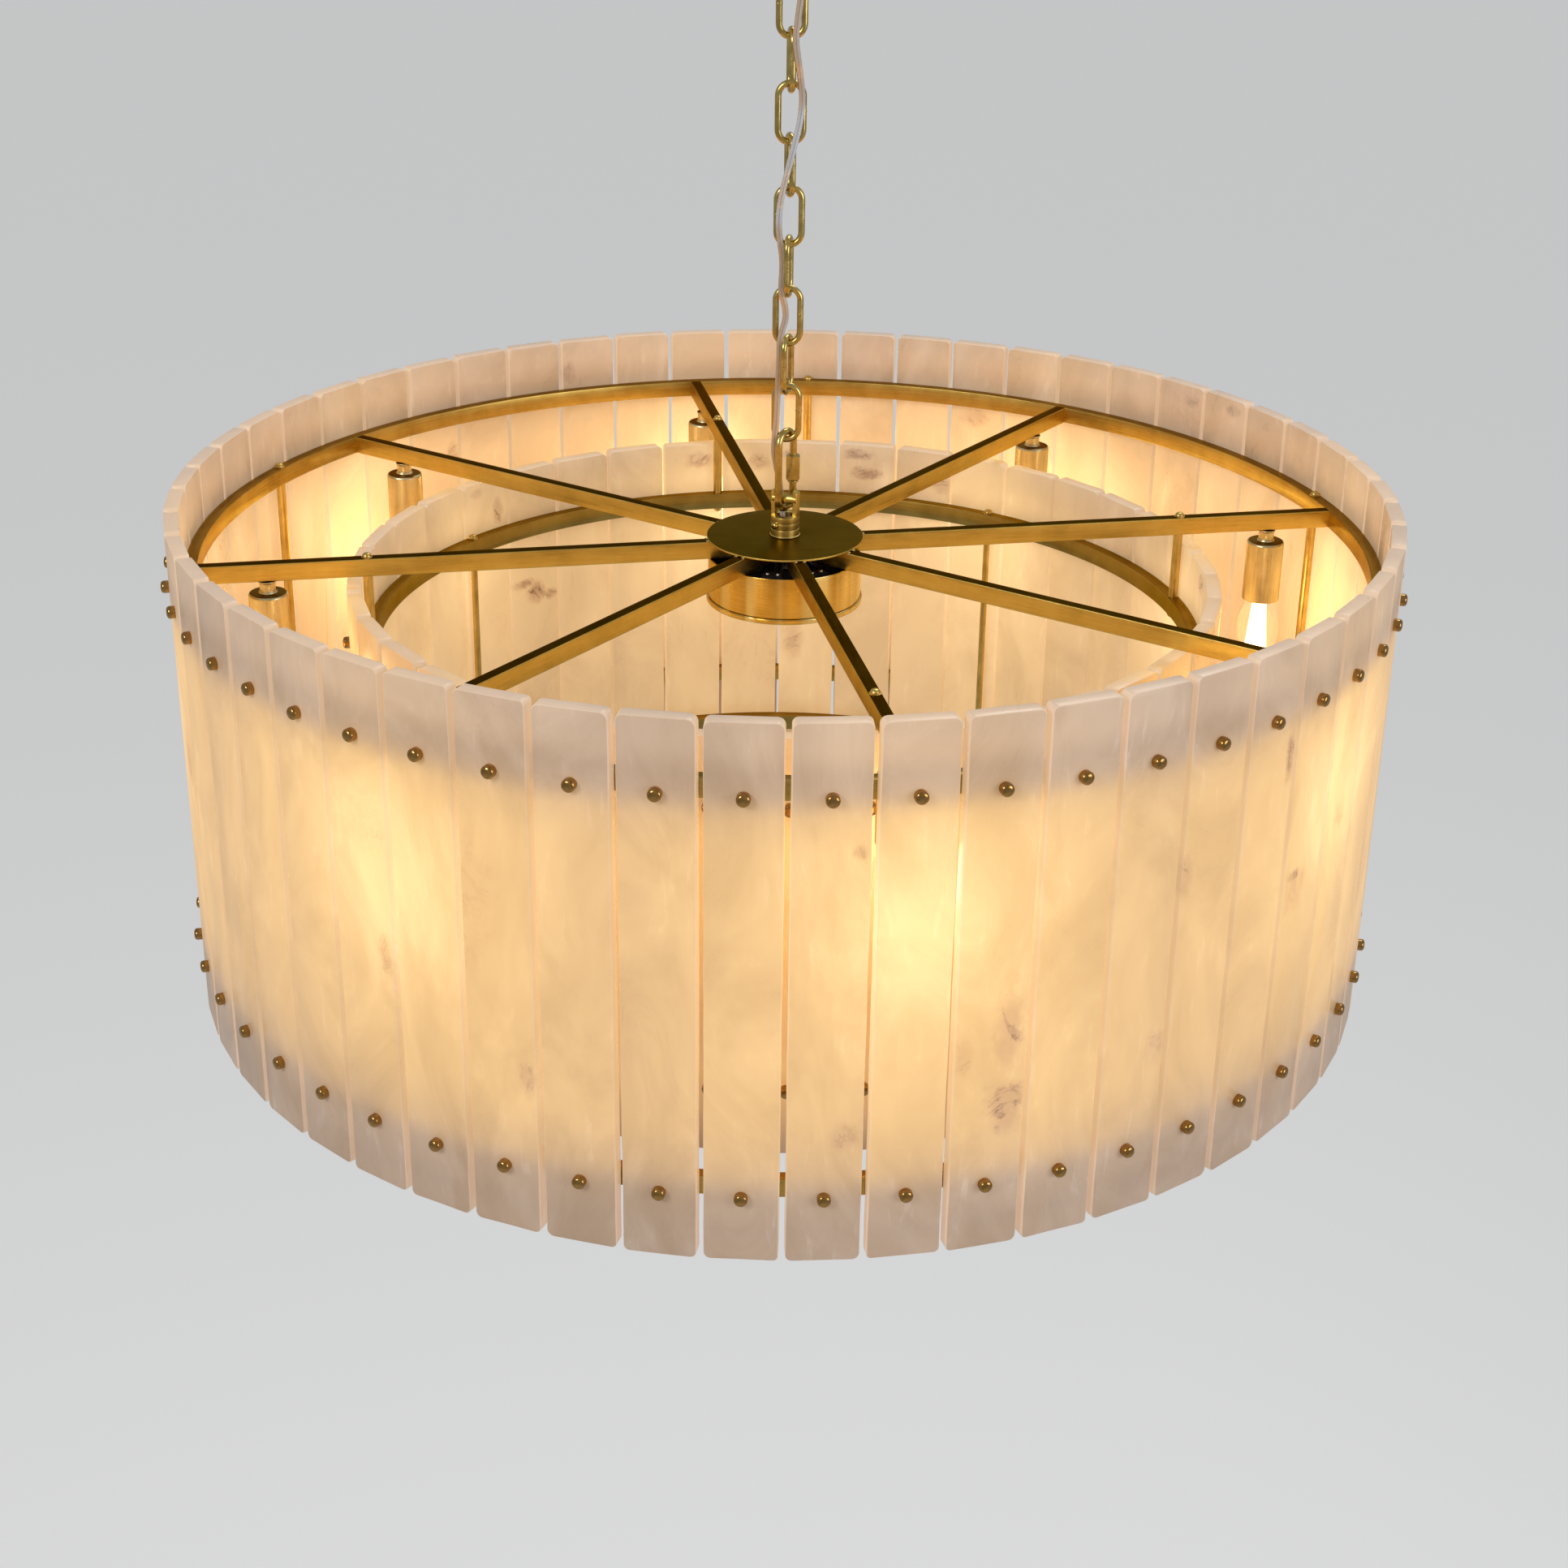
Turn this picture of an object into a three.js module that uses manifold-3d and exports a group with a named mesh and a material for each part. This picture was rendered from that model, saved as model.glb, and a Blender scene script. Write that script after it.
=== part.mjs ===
// Alabaster chandelier: two drums of upright alabaster slats screwed to brass rings,
// eight spokes with candle lamps, and a link chain with a quick link under a ceiling canopy.
// Millimetres, +Z up. The ceiling is the plane z = 0, everything hangs below it, the front faces -Y.
import * as THREE from "three";
import { mergeVertices } from "three/addons/utils/BufferGeometryUtils.js";
import Module from "manifold-3d";

const wasm = await Module();
wasm.setup();

// Fits
const seatGap = 0.3; // left between pieces that touch
const boreGap = 0.3; // radial clearance of a stud or wire in its bore
const fuseDepth = 0.1; // how far joined shapes of one piece run into each other
const cutOverrun = 2; // how far a cut runs past the material

// Canopy at the ceiling, its strap and its loop
const canopyRadius = 65;
const canopyDepth = 30;
const canopyWall = 1.5;
const canopyShoulder = 11; // height and width of the rounded edge
const canopyEdgeInset = 2.8; // middle of the rounded edge, in from the side
const canopyEdgeRise = 3.6; // and up from the face
const strapLength = 100;
const strapWidth = 22;
const strapThickness = 3;
const strapHoleSpacing = 76;
const strapHoleRadius = 2.3;
const strapBossRadius = 9;
const strapBossHeight = 9;
const nippleRadius = 5;
const loopCollarRadius = 10;
const loopCollarHeight = 11.3;
const loopCollarFootRadius = 7;
const loopCollarTaper = 3.8;
const loopRingRadius = 16;
const loopWireRadius = 2.5;

// Chain of equal links and the quick link under it
const linkCount = 9;
const linkWireRadius = 2.6;
const linkLength = 50.9; // over the wire
const linkWidth = 25; // over the wire
const linkAzimuths = [90, 7, 90, 12, 90, -8, 90, -17, 90]; // of the leg that stands in front
const quickWireRadius = 3;
const quickWidth = 27; // over the wire
const quickLength = 71.8; // over the wire
const quickAzimuth = -35;
const quickSkewRise = 0.8; // hanging askew, it bears on the sides of the last link's bow
const barSkewRise = 0.3; // and so does the yoke's bar on its lower bow
const quickNutAcross = 11;
const quickNutLength = 21.6;
const quickNutBevel = 0.9;
const quickNutRise = 21.8; // from the lower bow's middle to the nut's foot
const quickGapLength = 7.5;
const quickGapRise = 2; // from the nut's foot to the gap that it closes
const quickCollarRadius = 4.5;
const quickCollarHeight = 1.6;

// Yoke on the hub plate
const yokeRadius = 12;
const yokeBoreRadius = 7;
const yokeWaistRise = 27; // frame plane to the top of the round collar
const yokeTopRise = 49;
const yokeTopBevel = 2.5;
const yokeCheekThickness = 8;
const yokeWindowWidth = 15;
const yokeBarRise = 41;
const yokeBarRadius = 4.5;
const yokeSpigotRadius = 9;
const lockNutRadius = 13;
const lockNutHeight = 6;

// Hub plate over the spokes, wiring cup and cover under them
const hubPlateRadius = 65.5;
const hubPlateThickness = 1.6;
const cupRadius = 64.5;
const cupWall = 1.5;
const cupHeight = 34.6;
const cupLipWidth = 6;
const coverRadius = 66;
const coverThickness = 4.5;
const coverBevel = 0.8;

// Frame: rings and spokes of one flat bar, rods with domed nuts
const barWidth = 10;
const barHeight = 15;
const spokeWall = 1.5;
const spokeCount = 8;
const spokeAzimuth = 11; // of the first spoke
const spokeInnerRadius = 30;
const outerRingRadius = 487.2;
const lampInset = 59.2; // outer ring's middle to the lamps
const innerRingInset = 81; // lamps to the inner ring's middle
const innerRingDrop = 73.5; // frame plane to the inner drum's upper ring
const outerLowRingRise = 53.5; // slats' foot to the outer lower ring
const innerLowRingRise = 56.5; // slats' foot to the inner lower ring
const outerRodCount = 5;
const outerRodAzimuth = 33.5;
const hangerCount = 4;
const hangerAzimuth = 11;
const innerRodAzimuth = 56;
const rodRadius = 4;
const innerRodRadius = 3;
const studRadius = 2.2;
const nutRadius = 4.5;
const nutHeight = 4;
const nutTipRadius = 3;

// Slats
const slatWidth = 53.6;
const slatThickness = 12;
const slatCornerCut = 3;
const outerSlatCount = 54;
const outerSlatAzimuth = 3.85;
const outerSlatRise = 54.5; // frame plane to the outer slats' top
const outerSlatLength = 421; // the inner slats end at the same height
const innerSlatCount = 39;
const innerSlatAzimuth = 1.02;
const innerSlatRise = 55.5; // above the middle of the inner upper ring

// Lampholders and bulbs
const lampStudRadius = 2.5;
const lampStudHeight = 4; // above the spoke's lower face
const nippleHolderRadius = 6.5;
const nippleHolderHeight = 10;
const holderRadius = 16;
const holderLength = 54;
const holderShoulder = 4;
const holderWall = 1.5;
const holderRecess = 6;
const socketRadius = 8;
const socketDepth = 24;
const bulbBaseRadius = 7;
const bulbRadius = 18.5;
const bulbLength = 98;
const bulbBaseLength = 25;
// Outline of the glass from its tip: shares of the bulb's radius and of the glass's height
const bulbShares = [
  [0.17, 0.03],
  [0.56, 0.17],
  [0.93, 0.4],
  [1, 0.56],
  [0.86, 0.75],
];

// Cord along the chain: hand-chosen points from the canopy down into the wiring cup
const cordRadius = 1.5;
const cordHoleRadius = 2.4;
const cordSteps = 56;
const cordRoute = [
  [12, -14, -14],
  [12, -14, -30],
  [11.4, -13.8, -46],
  [9.4, -12.6, -62],
  [6.8, -11.8, -80],
  [4.6, -12.8, -97],
  [3.4, -14, -112],
  [5.4, -11.7, -128],
  [7.6, -6.6, -144],
  [8.9, -4.7, -159],
  [7, -9, -176],
  [2.8, -14.6, -193],
  [-1.3, -14.6, -210],
  [-5, -10, -226],
  [-7.6, -5, -242],
  [-8.2, -4.8, -257],
  [-6.9, -4.9, -269],
  [-5.4, -3.9, -280],
  [-5, -3.2, -291],
  [-5.5, -4.7, -302],
  [-5.3, -4.9, -311],
  [-2.6, -3.4, -321],
  [-1.9, -2.8, -331],
  [-4.9, -4.4, -343],
  [-6.3, -4.8, -351],
  [-6.6, -4.8, -364],
  [-7, -4.7, -378],
  [-7.6, -4.7, -398],
  [-8.4, -4.7, -418],
  [-9.6, -4.8, -430],
  [-9.8, -3.6, -443],
  [-7.8, -2.4, -456],
  [-5.6, 2.2, -468],
  [-4.4, 7, -479],
  [-3.6, 7.2, -488],
  [-2.4, 4.2, -498],
  [-1.2, 1.6, -510],
  [0, 0, -526],
  [0, 0, -546],
];

// Facets: how many sides each round form has
const wireSides = 8;
const bowSteps = 6;
const loopRingSteps = 16;
const canopySides = 18;
const yokeSides = 12;
const plateSides = 20;
const rodSides = 6;
const lampSides = 8;
const cordSides = 8;
const holeSides = 24;

// Heights that follow from the sizes above, from the ceiling down
const linkPitch = linkLength - 4 * linkWireRadius - seatGap;
const linkBowRadius = linkWidth / 2 - linkWireRadius;
const linkLegHalf = linkLength / 2 - linkWireRadius - linkBowRadius;
const quickBowRadius = quickWidth / 2 - quickWireRadius;
const quickLegHalf = quickLength / 2 - quickWireRadius - quickBowRadius;
const loopCentreZ = -canopyDepth - seatGap - loopCollarHeight + loopWireRadius - loopRingRadius;
const loopBottomZ = loopCentreZ - loopRingRadius;
const firstLinkZ = loopBottomZ + loopWireRadius + linkWireRadius + seatGap - linkBowRadius - linkLegHalf;
const chainEndZ = firstLinkZ - (linkCount - 1) * linkPitch - linkLegHalf - linkBowRadius;
const quickTopZ = chainEndZ + linkWireRadius + quickWireRadius + seatGap + quickSkewRise;
const quickZ = quickTopZ - quickBowRadius - quickLegHalf;
const quickFootZ = -quickLegHalf - quickBowRadius;
const yokeBarZ = quickZ + quickFootZ + quickWireRadius + yokeBarRadius + seatGap + barSkewRise;
const frameZ = yokeBarZ - yokeBarRise;

// Sizes of the frame and drums that follow
const lampRadius = outerRingRadius - lampInset;
const innerRingRadius = lampRadius - innerRingInset;
const outerSlatInner = outerRingRadius + barWidth / 2 + seatGap;
const innerSlatInner = innerRingRadius + barWidth / 2 + seatGap;
const slatBottom = outerSlatRise - outerSlatLength;
const outerLowRingZ = slatBottom + outerLowRingRise;
const innerLowRingZ = slatBottom + innerLowRingRise;
const innerSlatTop = innerSlatRise - innerRingDrop;
const boltBore = studRadius + boreGap;
const spokeOuterRadius = outerRingRadius - barWidth / 2 - seatGap;

// Geometry helpers

const radians = THREE.MathUtils.degToRad;
// Polar angle of an azimuth that is zero at the front and grows towards +X.
const aim = (azimuth) => radians(azimuth - 90);
// Turns a profile drawn as (across, up) and extruded along its depth into (Y, Z) along +X.
const standing = new THREE.Matrix4().makeBasis(
  new THREE.Vector3(0, 1, 0),
  new THREE.Vector3(0, 0, 1),
  new THREE.Vector3(1, 0, 0),
);

function solidOf(geometry) {
  const bare = geometry.clone();
  bare.deleteAttribute("normal");
  bare.deleteAttribute("uv");
  const merged = mergeVertices(bare);
  const mesh = new wasm.Mesh({
    numProp: 3,
    vertProperties: merged.attributes.position.array,
    triVerts: new Uint32Array(merged.index.array),
  });
  return new wasm.Manifold(mesh);
}

function geometryOf(solid) {
  const mesh = solid.getMesh();
  const geometry = new THREE.BufferGeometry();
  geometry.setAttribute("position", new THREE.BufferAttribute(mesh.vertProperties, 3));
  geometry.setIndex(new THREE.BufferAttribute(mesh.triVerts, 1));
  const flat = geometry.toNonIndexed();
  flat.computeVertexNormals();
  return flat;
}

// Joins and cuts whole geometries.
function shaped(body, { add = [], cut = [] }) {
  let solid = solidOf(body);
  for (const piece of add) {
    solid = solid.add(solidOf(piece));
  }
  for (const tool of cut) {
    solid = solid.subtract(solidOf(tool));
  }
  return geometryOf(solid);
}

// Revolves (radius, z) points about Z. A profile runs up its outside.
function revolve(profile, sides) {
  const points = profile.map(([radius, z]) => new THREE.Vector2(radius, z));
  return new THREE.LatheGeometry(points, sides).rotateX(Math.PI / 2);
}

// Revolves a profile that closes on itself, round a bore.
function revolveRing(profile, sides) {
  return revolve([...profile, profile[0]], sides);
}

function cylinder(radius, low, high, sides) {
  return revolve([[0, low], [radius, low], [radius, high], [0, high]], sides);
}

function box(width, depth, height) {
  return new THREE.BoxGeometry(width, depth, height);
}

// Corners of a regular polygon given by its apothem, with a flat centred on the turn.
function corners(apothem, sides, turn) {
  const radius = apothem / Math.cos(Math.PI / sides);
  return Array.from({ length: sides }, (_, i) => {
    const angle = turn + ((i + 0.5) * 2 * Math.PI) / sides;
    return new THREE.Vector2(radius * Math.cos(angle), radius * Math.sin(angle));
  });
}

// Ring of the flat bar with one flat for each slat, centred on z = 0.
function barRing(apothem, sides, turn, outward = barWidth / 2) {
  const outline = new THREE.Shape(corners(apothem + outward, sides, turn));
  outline.holes.push(new THREE.Path(corners(apothem - barWidth / 2, sides, turn)));
  const ring = new THREE.ExtrudeGeometry(outline, { depth: barHeight, bevelEnabled: false });
  return ring.translate(0, 0, -barHeight / 2);
}

// Upright holes for studs through a bar, at a radius and a list of azimuths.
function studHoles(radius, azimuths, z) {
  return azimuths.map((azimuth) => {
    const half = barHeight / 2 + cutOverrun;
    const drill = cylinder(boltBore / Math.cos(Math.PI / rodSides), z - half, z + half, rodSides);
    return drill.translate(radius, 0, 0).rotateZ(aim(azimuth));
  });
}

function azimuthsFrom(first, count) {
  return Array.from({ length: count }, (_, i) => first + (i * 360) / count);
}

// Centre line of a link in the XZ plane: two half circles joined by straight legs.
// It starts at the foot of the upper bow on the +X leg and runs over the top. An open link
// starts and ends on that leg, at the two heights in ends.
const loopSteps = 2 * bowSteps + 1;

class LinkCurve extends THREE.Curve {
  constructor(bowRadius, legHalf, ends = null) {
    super();
    Object.assign(this, { bowRadius, legHalf, ends });
  }

  get steps() {
    return this.ends ? loopSteps + 2 : loopSteps + 1;
  }

  // Each bow takes bowSteps of the curve and each leg one, whatever their lengths.
  getUtoTmapping(u) {
    return u;
  }

  getPoint(t, target = new THREE.Vector3()) {
    const place = this.ends ? t * this.steps - 1 : t * this.steps;
    if (place < 0) {
      const [start] = this.ends;
      return target.set(this.bowRadius, 0, THREE.MathUtils.lerp(start, this.legHalf, place + 1));
    }
    if (this.ends && place > loopSteps) {
      const end = this.ends[1];
      return target.set(this.bowRadius, 0, THREE.MathUtils.lerp(-this.legHalf, end, place - loopSteps));
    }
    const side = place < bowSteps + 1 ? 1 : -1;
    const along = side > 0 ? place : place - bowSteps - 1;
    if (along <= bowSteps) {
      const angle = (along / bowSteps) * Math.PI;
      const x = side * this.bowRadius * Math.cos(angle);
      return target.set(x, 0, side * (this.legHalf + this.bowRadius * Math.sin(angle)));
    }
    const share = along - bowSteps;
    return target.set(-side * this.bowRadius, 0, side * this.legHalf * (1 - 2 * share));
  }
}

function closedLink(bowRadius, legHalf, wireRadius) {
  const line = new LinkCurve(bowRadius, legHalf);
  return new THREE.TubeGeometry(line, line.steps, wireRadius, wireSides, true);
}

function roundSection(radius, sides) {
  return new THREE.Shape(corners(radius * Math.cos(Math.PI / sides), sides, 0));
}

// Pieces at the ceiling

function canopy() {
  const inner = canopyRadius - canopyWall;
  const floor = canopyWall - canopyDepth;
  const bore = nippleRadius + boreGap;
  const dish = revolveRing(
    [
      [bore, -canopyDepth],
      [canopyRadius - canopyShoulder, -canopyDepth],
      [canopyRadius - canopyEdgeInset, -canopyDepth + canopyEdgeRise],
      [canopyRadius, -canopyDepth + canopyShoulder],
      [canopyRadius, 0],
      [inner, 0],
      [inner, -canopyDepth + canopyShoulder],
      [inner - canopyEdgeInset, floor + canopyEdgeRise],
      [inner - canopyShoulder, floor],
      [bore, floor],
    ],
    canopySides,
  );
  const [x, y] = cordRoute[0];
  const low = -canopyDepth - cutOverrun;
  const cordHole = cylinder(cordHoleRadius, low, floor + cutOverrun, cordSides).translate(x, y, 0);
  return shaped(dish, { cut: [cordHole] });
}

function canopyStrap() {
  const bar = box(strapLength, strapWidth, strapThickness).translate(0, 0, -strapThickness / 2);
  const foot = -strapThickness - strapBossHeight;
  const boss = cylinder(strapBossRadius, foot, -strapThickness + fuseDepth, lampSides);
  const screwHole = cylinder(strapHoleRadius, -strapThickness - cutOverrun, cutOverrun, holeSides);
  const holes = [-1, 1].map((side) => screwHole.clone().translate((side * strapHoleSpacing) / 2, 0, 0));
  const boreRadius = nippleRadius / Math.cos(Math.PI / lampSides) + boreGap;
  const bore = cylinder(boreRadius, foot - cutOverrun, -strapThickness, lampSides);
  return shaped(bar, { add: [boss], cut: [...holes, bore] });
}

function canopyLoop() {
  const top = -canopyDepth - seatGap;
  const foot = top - loopCollarHeight;
  const stem = revolve(
    [
      [0, foot],
      [loopCollarFootRadius, foot],
      [loopCollarRadius, foot + loopCollarTaper],
      [loopCollarRadius, top],
      [nippleRadius, top],
      [nippleRadius, -strapThickness - seatGap],
      [0, -strapThickness - seatGap],
    ],
    lampSides,
  );
  const ring = new THREE.TorusGeometry(loopRingRadius, loopWireRadius, wireSides, loopRingSteps);
  ring.rotateY(Math.PI / 2).translate(0, 0, loopCentreZ);
  return shaped(stem, { add: [ring] });
}

// Quick link: one bent wire whose ends meet behind a long nut on the leg at +X

function quickLink() {
  const foot = quickFootZ + quickNutRise;
  const gapFoot = foot + quickGapRise;
  const line = new LinkCurve(quickBowRadius, quickLegHalf, [gapFoot + quickGapLength, gapFoot]);
  const body = new THREE.ExtrudeGeometry(roundSection(quickWireRadius, wireSides), {
    steps: line.steps,
    extrudePath: line,
  });
  const collar = cylinder(quickCollarRadius, foot - seatGap - quickCollarHeight, foot - seatGap, wireSides);
  return shaped(body, { add: [collar.translate(quickBowRadius, 0, 0)] });
}

function quickNut() {
  const foot = quickFootZ + quickNutRise;
  const bore = (quickWireRadius + boreGap) / Math.cos(Math.PI / wireSides);
  const across = quickNutAcross / 2;
  const hexagon = across / Math.cos(Math.PI / 6);
  const nut = revolve(
    [
      [0, foot],
      [hexagon - quickNutBevel, foot],
      [hexagon, foot + quickNutBevel],
      [hexagon, foot + quickNutLength - quickNutBevel],
      [hexagon - quickNutBevel, foot + quickNutLength],
      [0, foot + quickNutLength],
    ],
    6,
  );
  const drill = cylinder(bore, foot - cutOverrun, foot + quickNutLength + cutOverrun, wireSides);
  return shaped(nut, { cut: [drill] }).translate(quickBowRadius, 0, 0);
}

// Hub pieces, with z measured from the frame plane

const plateFoot = barHeight / 2 + seatGap;
const plateTop = plateFoot + hubPlateThickness;

function hangerYoke() {
  const foot = plateFoot - seatGap;
  const turned = revolveRing(
    [
      [yokeBoreRadius, foot - lockNutHeight],
      [lockNutRadius, foot - lockNutHeight],
      [lockNutRadius, foot],
      [yokeSpigotRadius, foot],
      [yokeSpigotRadius, plateTop + seatGap],
      [yokeRadius, plateTop + seatGap],
      [yokeRadius, yokeTopRise - yokeTopBevel],
      [yokeRadius - yokeTopBevel, yokeTopRise],
      [yokeBoreRadius, yokeTopRise],
    ],
    yokeSides,
  );
  const cutHeight = yokeTopRise - yokeWaistRise + cutOverrun;
  const cutMiddle = yokeWaistRise + cutHeight / 2;
  const width = 2 * (yokeRadius + cutOverrun);
  const window = box(yokeWindowWidth, width, cutHeight).translate(0, 0, cutMiddle);
  const flats = [-1, 1].map((side) => {
    const flat = box(width, width, cutHeight);
    return flat.translate(0, (side * (yokeCheekThickness + width)) / 2, cutMiddle);
  });
  const reach = yokeRadius - yokeTopBevel / 2;
  const bar = cylinder(yokeBarRadius, -reach, reach, wireSides);
  bar.rotateY(Math.PI / 2).translate(0, 0, yokeBarRise);
  const forked = shaped(turned, { cut: [window, ...flats] });
  return shaped(forked, { add: [bar] });
}

function hubPlate() {
  const bore = (yokeSpigotRadius + boreGap) / Math.cos(Math.PI / plateSides);
  return revolveRing(
    [
      [bore, plateFoot],
      [hubPlateRadius, plateFoot],
      [hubPlateRadius, plateTop],
      [bore, plateTop],
    ],
    plateSides,
  );
}

function wiringCup() {
  const rim = -barHeight / 2 - seatGap;
  const foot = rim - cupHeight;
  const inner = cupRadius - cupWall;
  return revolveRing(
    [
      [inner - cupLipWidth, foot],
      [cupRadius, foot],
      [cupRadius, rim],
      [inner, rim],
      [inner, foot + cupWall],
      [inner - cupLipWidth, foot + cupWall],
    ],
    plateSides,
  );
}

function wiringCover() {
  const top = -barHeight / 2 - 2 * seatGap - cupHeight;
  const foot = top - coverThickness;
  return revolve(
    [
      [0, foot],
      [coverRadius - coverBevel, foot],
      [coverRadius, foot + coverBevel],
      [coverRadius, top - coverBevel],
      [coverRadius - coverBevel, top],
      [0, top],
    ],
    plateSides,
  );
}

// Hollow spoke along +X, open at both ends, with its lampholder hole and any hanger hole.
function spoke(hasHanger) {
  const outline = new THREE.Shape([
    new THREE.Vector2(-barWidth / 2, -barHeight / 2),
    new THREE.Vector2(barWidth / 2, -barHeight / 2),
    new THREE.Vector2(barWidth / 2, barHeight / 2),
    new THREE.Vector2(-barWidth / 2, barHeight / 2),
  ]);
  const innerWidth = barWidth / 2 - spokeWall;
  const innerHeight = barHeight / 2 - spokeWall;
  outline.holes.push(
    new THREE.Path([
      new THREE.Vector2(-innerWidth, -innerHeight),
      new THREE.Vector2(innerWidth, -innerHeight),
      new THREE.Vector2(innerWidth, innerHeight),
      new THREE.Vector2(-innerWidth, innerHeight),
    ]),
  );
  const length = spokeOuterRadius - spokeInnerRadius;
  const tube = new THREE.ExtrudeGeometry(outline, { depth: length, bevelEnabled: false });
  tube.applyMatrix4(standing).translate(spokeInnerRadius, 0, 0);
  const lampBore = (lampStudRadius + boreGap) / Math.cos(Math.PI / lampSides);
  const lampHole = cylinder(lampBore, -barHeight / 2 - cutOverrun, 0, lampSides).translate(lampRadius, 0, 0);
  const hangerHoles = hasHanger ? studHoles(innerRingRadius, [90], 0) : [];
  return shaped(tube, { cut: [lampHole, ...hangerHoles] });
}

// Upright rod between two bars, given by the heights of the faces it stands between.
// Its studs pass through the bars and carry a domed nut on the far side of each.
function rod(low, high, radius) {
  const lowNut = low - barHeight - seatGap;
  const highNut = high + barHeight + seatGap;
  return revolve(
    [
      [0, lowNut - nutHeight],
      [nutTipRadius, lowNut - nutHeight],
      [nutRadius, lowNut],
      [studRadius, lowNut],
      [studRadius, low + seatGap],
      [radius, low + seatGap],
      [radius, high - seatGap],
      [studRadius, high - seatGap],
      [studRadius, highNut],
      [nutRadius, highNut],
      [nutTipRadius, highNut + nutHeight],
      [0, highNut + nutHeight],
    ],
    rodSides,
  );
}

// Lampholder under a spoke: a stud into the spoke, a collar and a sleeve with its socket.
const spokeFoot = -barHeight / 2;
const holderTop = spokeFoot - seatGap - nippleHolderHeight;
const holderMouth = holderTop - holderLength;
const socketFoot = holderMouth + holderRecess;

function lampholder() {
  const stud = spokeFoot + lampStudHeight;
  return revolve(
    [
      [0, socketFoot + socketDepth],
      [socketRadius, socketFoot + socketDepth],
      [socketRadius, socketFoot],
      [holderRadius - holderWall, socketFoot],
      [holderRadius - holderWall, holderMouth],
      [holderRadius, holderMouth],
      [holderRadius, holderTop - holderShoulder],
      [holderRadius - holderShoulder, holderTop],
      [nippleHolderRadius, holderTop],
      [nippleHolderRadius, holderTop + nippleHolderHeight],
      [lampStudRadius, holderTop + nippleHolderHeight],
      [lampStudRadius, stud],
      [0, stud],
    ],
    lampSides,
  );
}

// Candle bulb with its screw base up in the socket.
function bulb() {
  const top = socketFoot + socketDepth - seatGap;
  const glassTop = top - bulbBaseLength;
  const tip = top - bulbLength;
  const glass = glassTop - tip;
  return revolve(
    [
      [0, tip],
      ...bulbShares.map(([across, along]) => [bulbRadius * across, tip + glass * along]),
      [bulbBaseRadius, glassTop],
      [bulbBaseRadius, top],
      [0, top],
    ],
    lampSides,
  );
}

// Drums

// One slat along +X, its inner face on x = inner, with cut corners.
function slat(inner, top, bottom) {
  const half = slatWidth / 2;
  const cut = slatCornerCut;
  const outline = new THREE.Shape([
    new THREE.Vector2(-half + cut, bottom),
    new THREE.Vector2(half - cut, bottom),
    new THREE.Vector2(half, bottom + cut),
    new THREE.Vector2(half, top - cut),
    new THREE.Vector2(half - cut, top),
    new THREE.Vector2(-half + cut, top),
    new THREE.Vector2(-half, top - cut),
    new THREE.Vector2(-half, bottom + cut),
  ]);
  const plate = new THREE.ExtrudeGeometry(outline, { depth: slatThickness, bevelEnabled: false });
  return plate.applyMatrix4(standing).translate(inner, 0, 0);
}

// The slats of one drum on their lower ring, which holds them as one piece.
function slatDrum({ count, azimuth, inner, top, bottom, ringRadius, ringZ, rods }) {
  const ring = barRing(ringRadius, count, aim(azimuth), inner - ringRadius + fuseDepth);
  ring.translate(0, 0, ringZ);
  const turns = azimuthsFrom(azimuth, count);
  const slats = turns.map((turn) => slat(inner, top, bottom).rotateZ(aim(turn)));
  const bored = shaped(ring, { cut: studHoles(ringRadius, rods, ringZ) });
  return shaped(bored, { add: slats });
}

const outerRods = azimuthsFrom(outerRodAzimuth, outerRodCount);
const hangers = azimuthsFrom(hangerAzimuth, hangerCount);
const innerRods = azimuthsFrom(innerRodAzimuth, hangerCount);

function outerSlats() {
  return slatDrum({
    count: outerSlatCount,
    azimuth: outerSlatAzimuth,
    inner: outerSlatInner,
    top: outerSlatRise,
    bottom: slatBottom,
    ringRadius: outerRingRadius,
    ringZ: outerLowRingZ,
    rods: outerRods,
  });
}

function innerSlats() {
  return slatDrum({
    count: innerSlatCount,
    azimuth: innerSlatAzimuth,
    inner: innerSlatInner,
    top: innerSlatTop,
    bottom: slatBottom,
    ringRadius: innerRingRadius,
    ringZ: innerLowRingZ,
    rods: innerRods,
  });
}

function outerTopRing() {
  const ring = barRing(outerRingRadius, outerSlatCount, aim(outerSlatAzimuth));
  return shaped(ring, { cut: studHoles(outerRingRadius, outerRods, 0) });
}

function innerTopRing() {
  const ring = barRing(innerRingRadius, innerSlatCount, aim(innerSlatAzimuth));
  return shaped(ring, { cut: studHoles(innerRingRadius, [...hangers, ...innerRods], 0) });
}

function powerCord() {
  const points = cordRoute.map(([x, y, z]) => new THREE.Vector3(x, y, z));
  return new THREE.ExtrudeGeometry(roundSection(cordRadius, cordSides), {
    steps: cordSteps,
    extrudePath: new THREE.CatmullRomCurve3(points, false, "centripetal"),
  });
}

// Materials

const brass = { color: 0xb08a3e, roughness: 0.32, metalness: 1 };
const polishedBrass = { color: 0xc9a04a, roughness: 0.15, metalness: 1 };
const darkBrass = { color: 0x4a3d22, roughness: 0.4, metalness: 0.9 };
const alabaster = { color: 0xe9d9c4, roughness: 0.35, metalness: 0 };
const clearGlass = { color: 0xfff1d8, roughness: 0.05, metalness: 0 };
const clearFlex = { color: 0xd8cdb8, roughness: 0.3, metalness: 0 };
const steel = { color: 0x9a9a98, roughness: 0.45, metalness: 0.9 };

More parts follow.
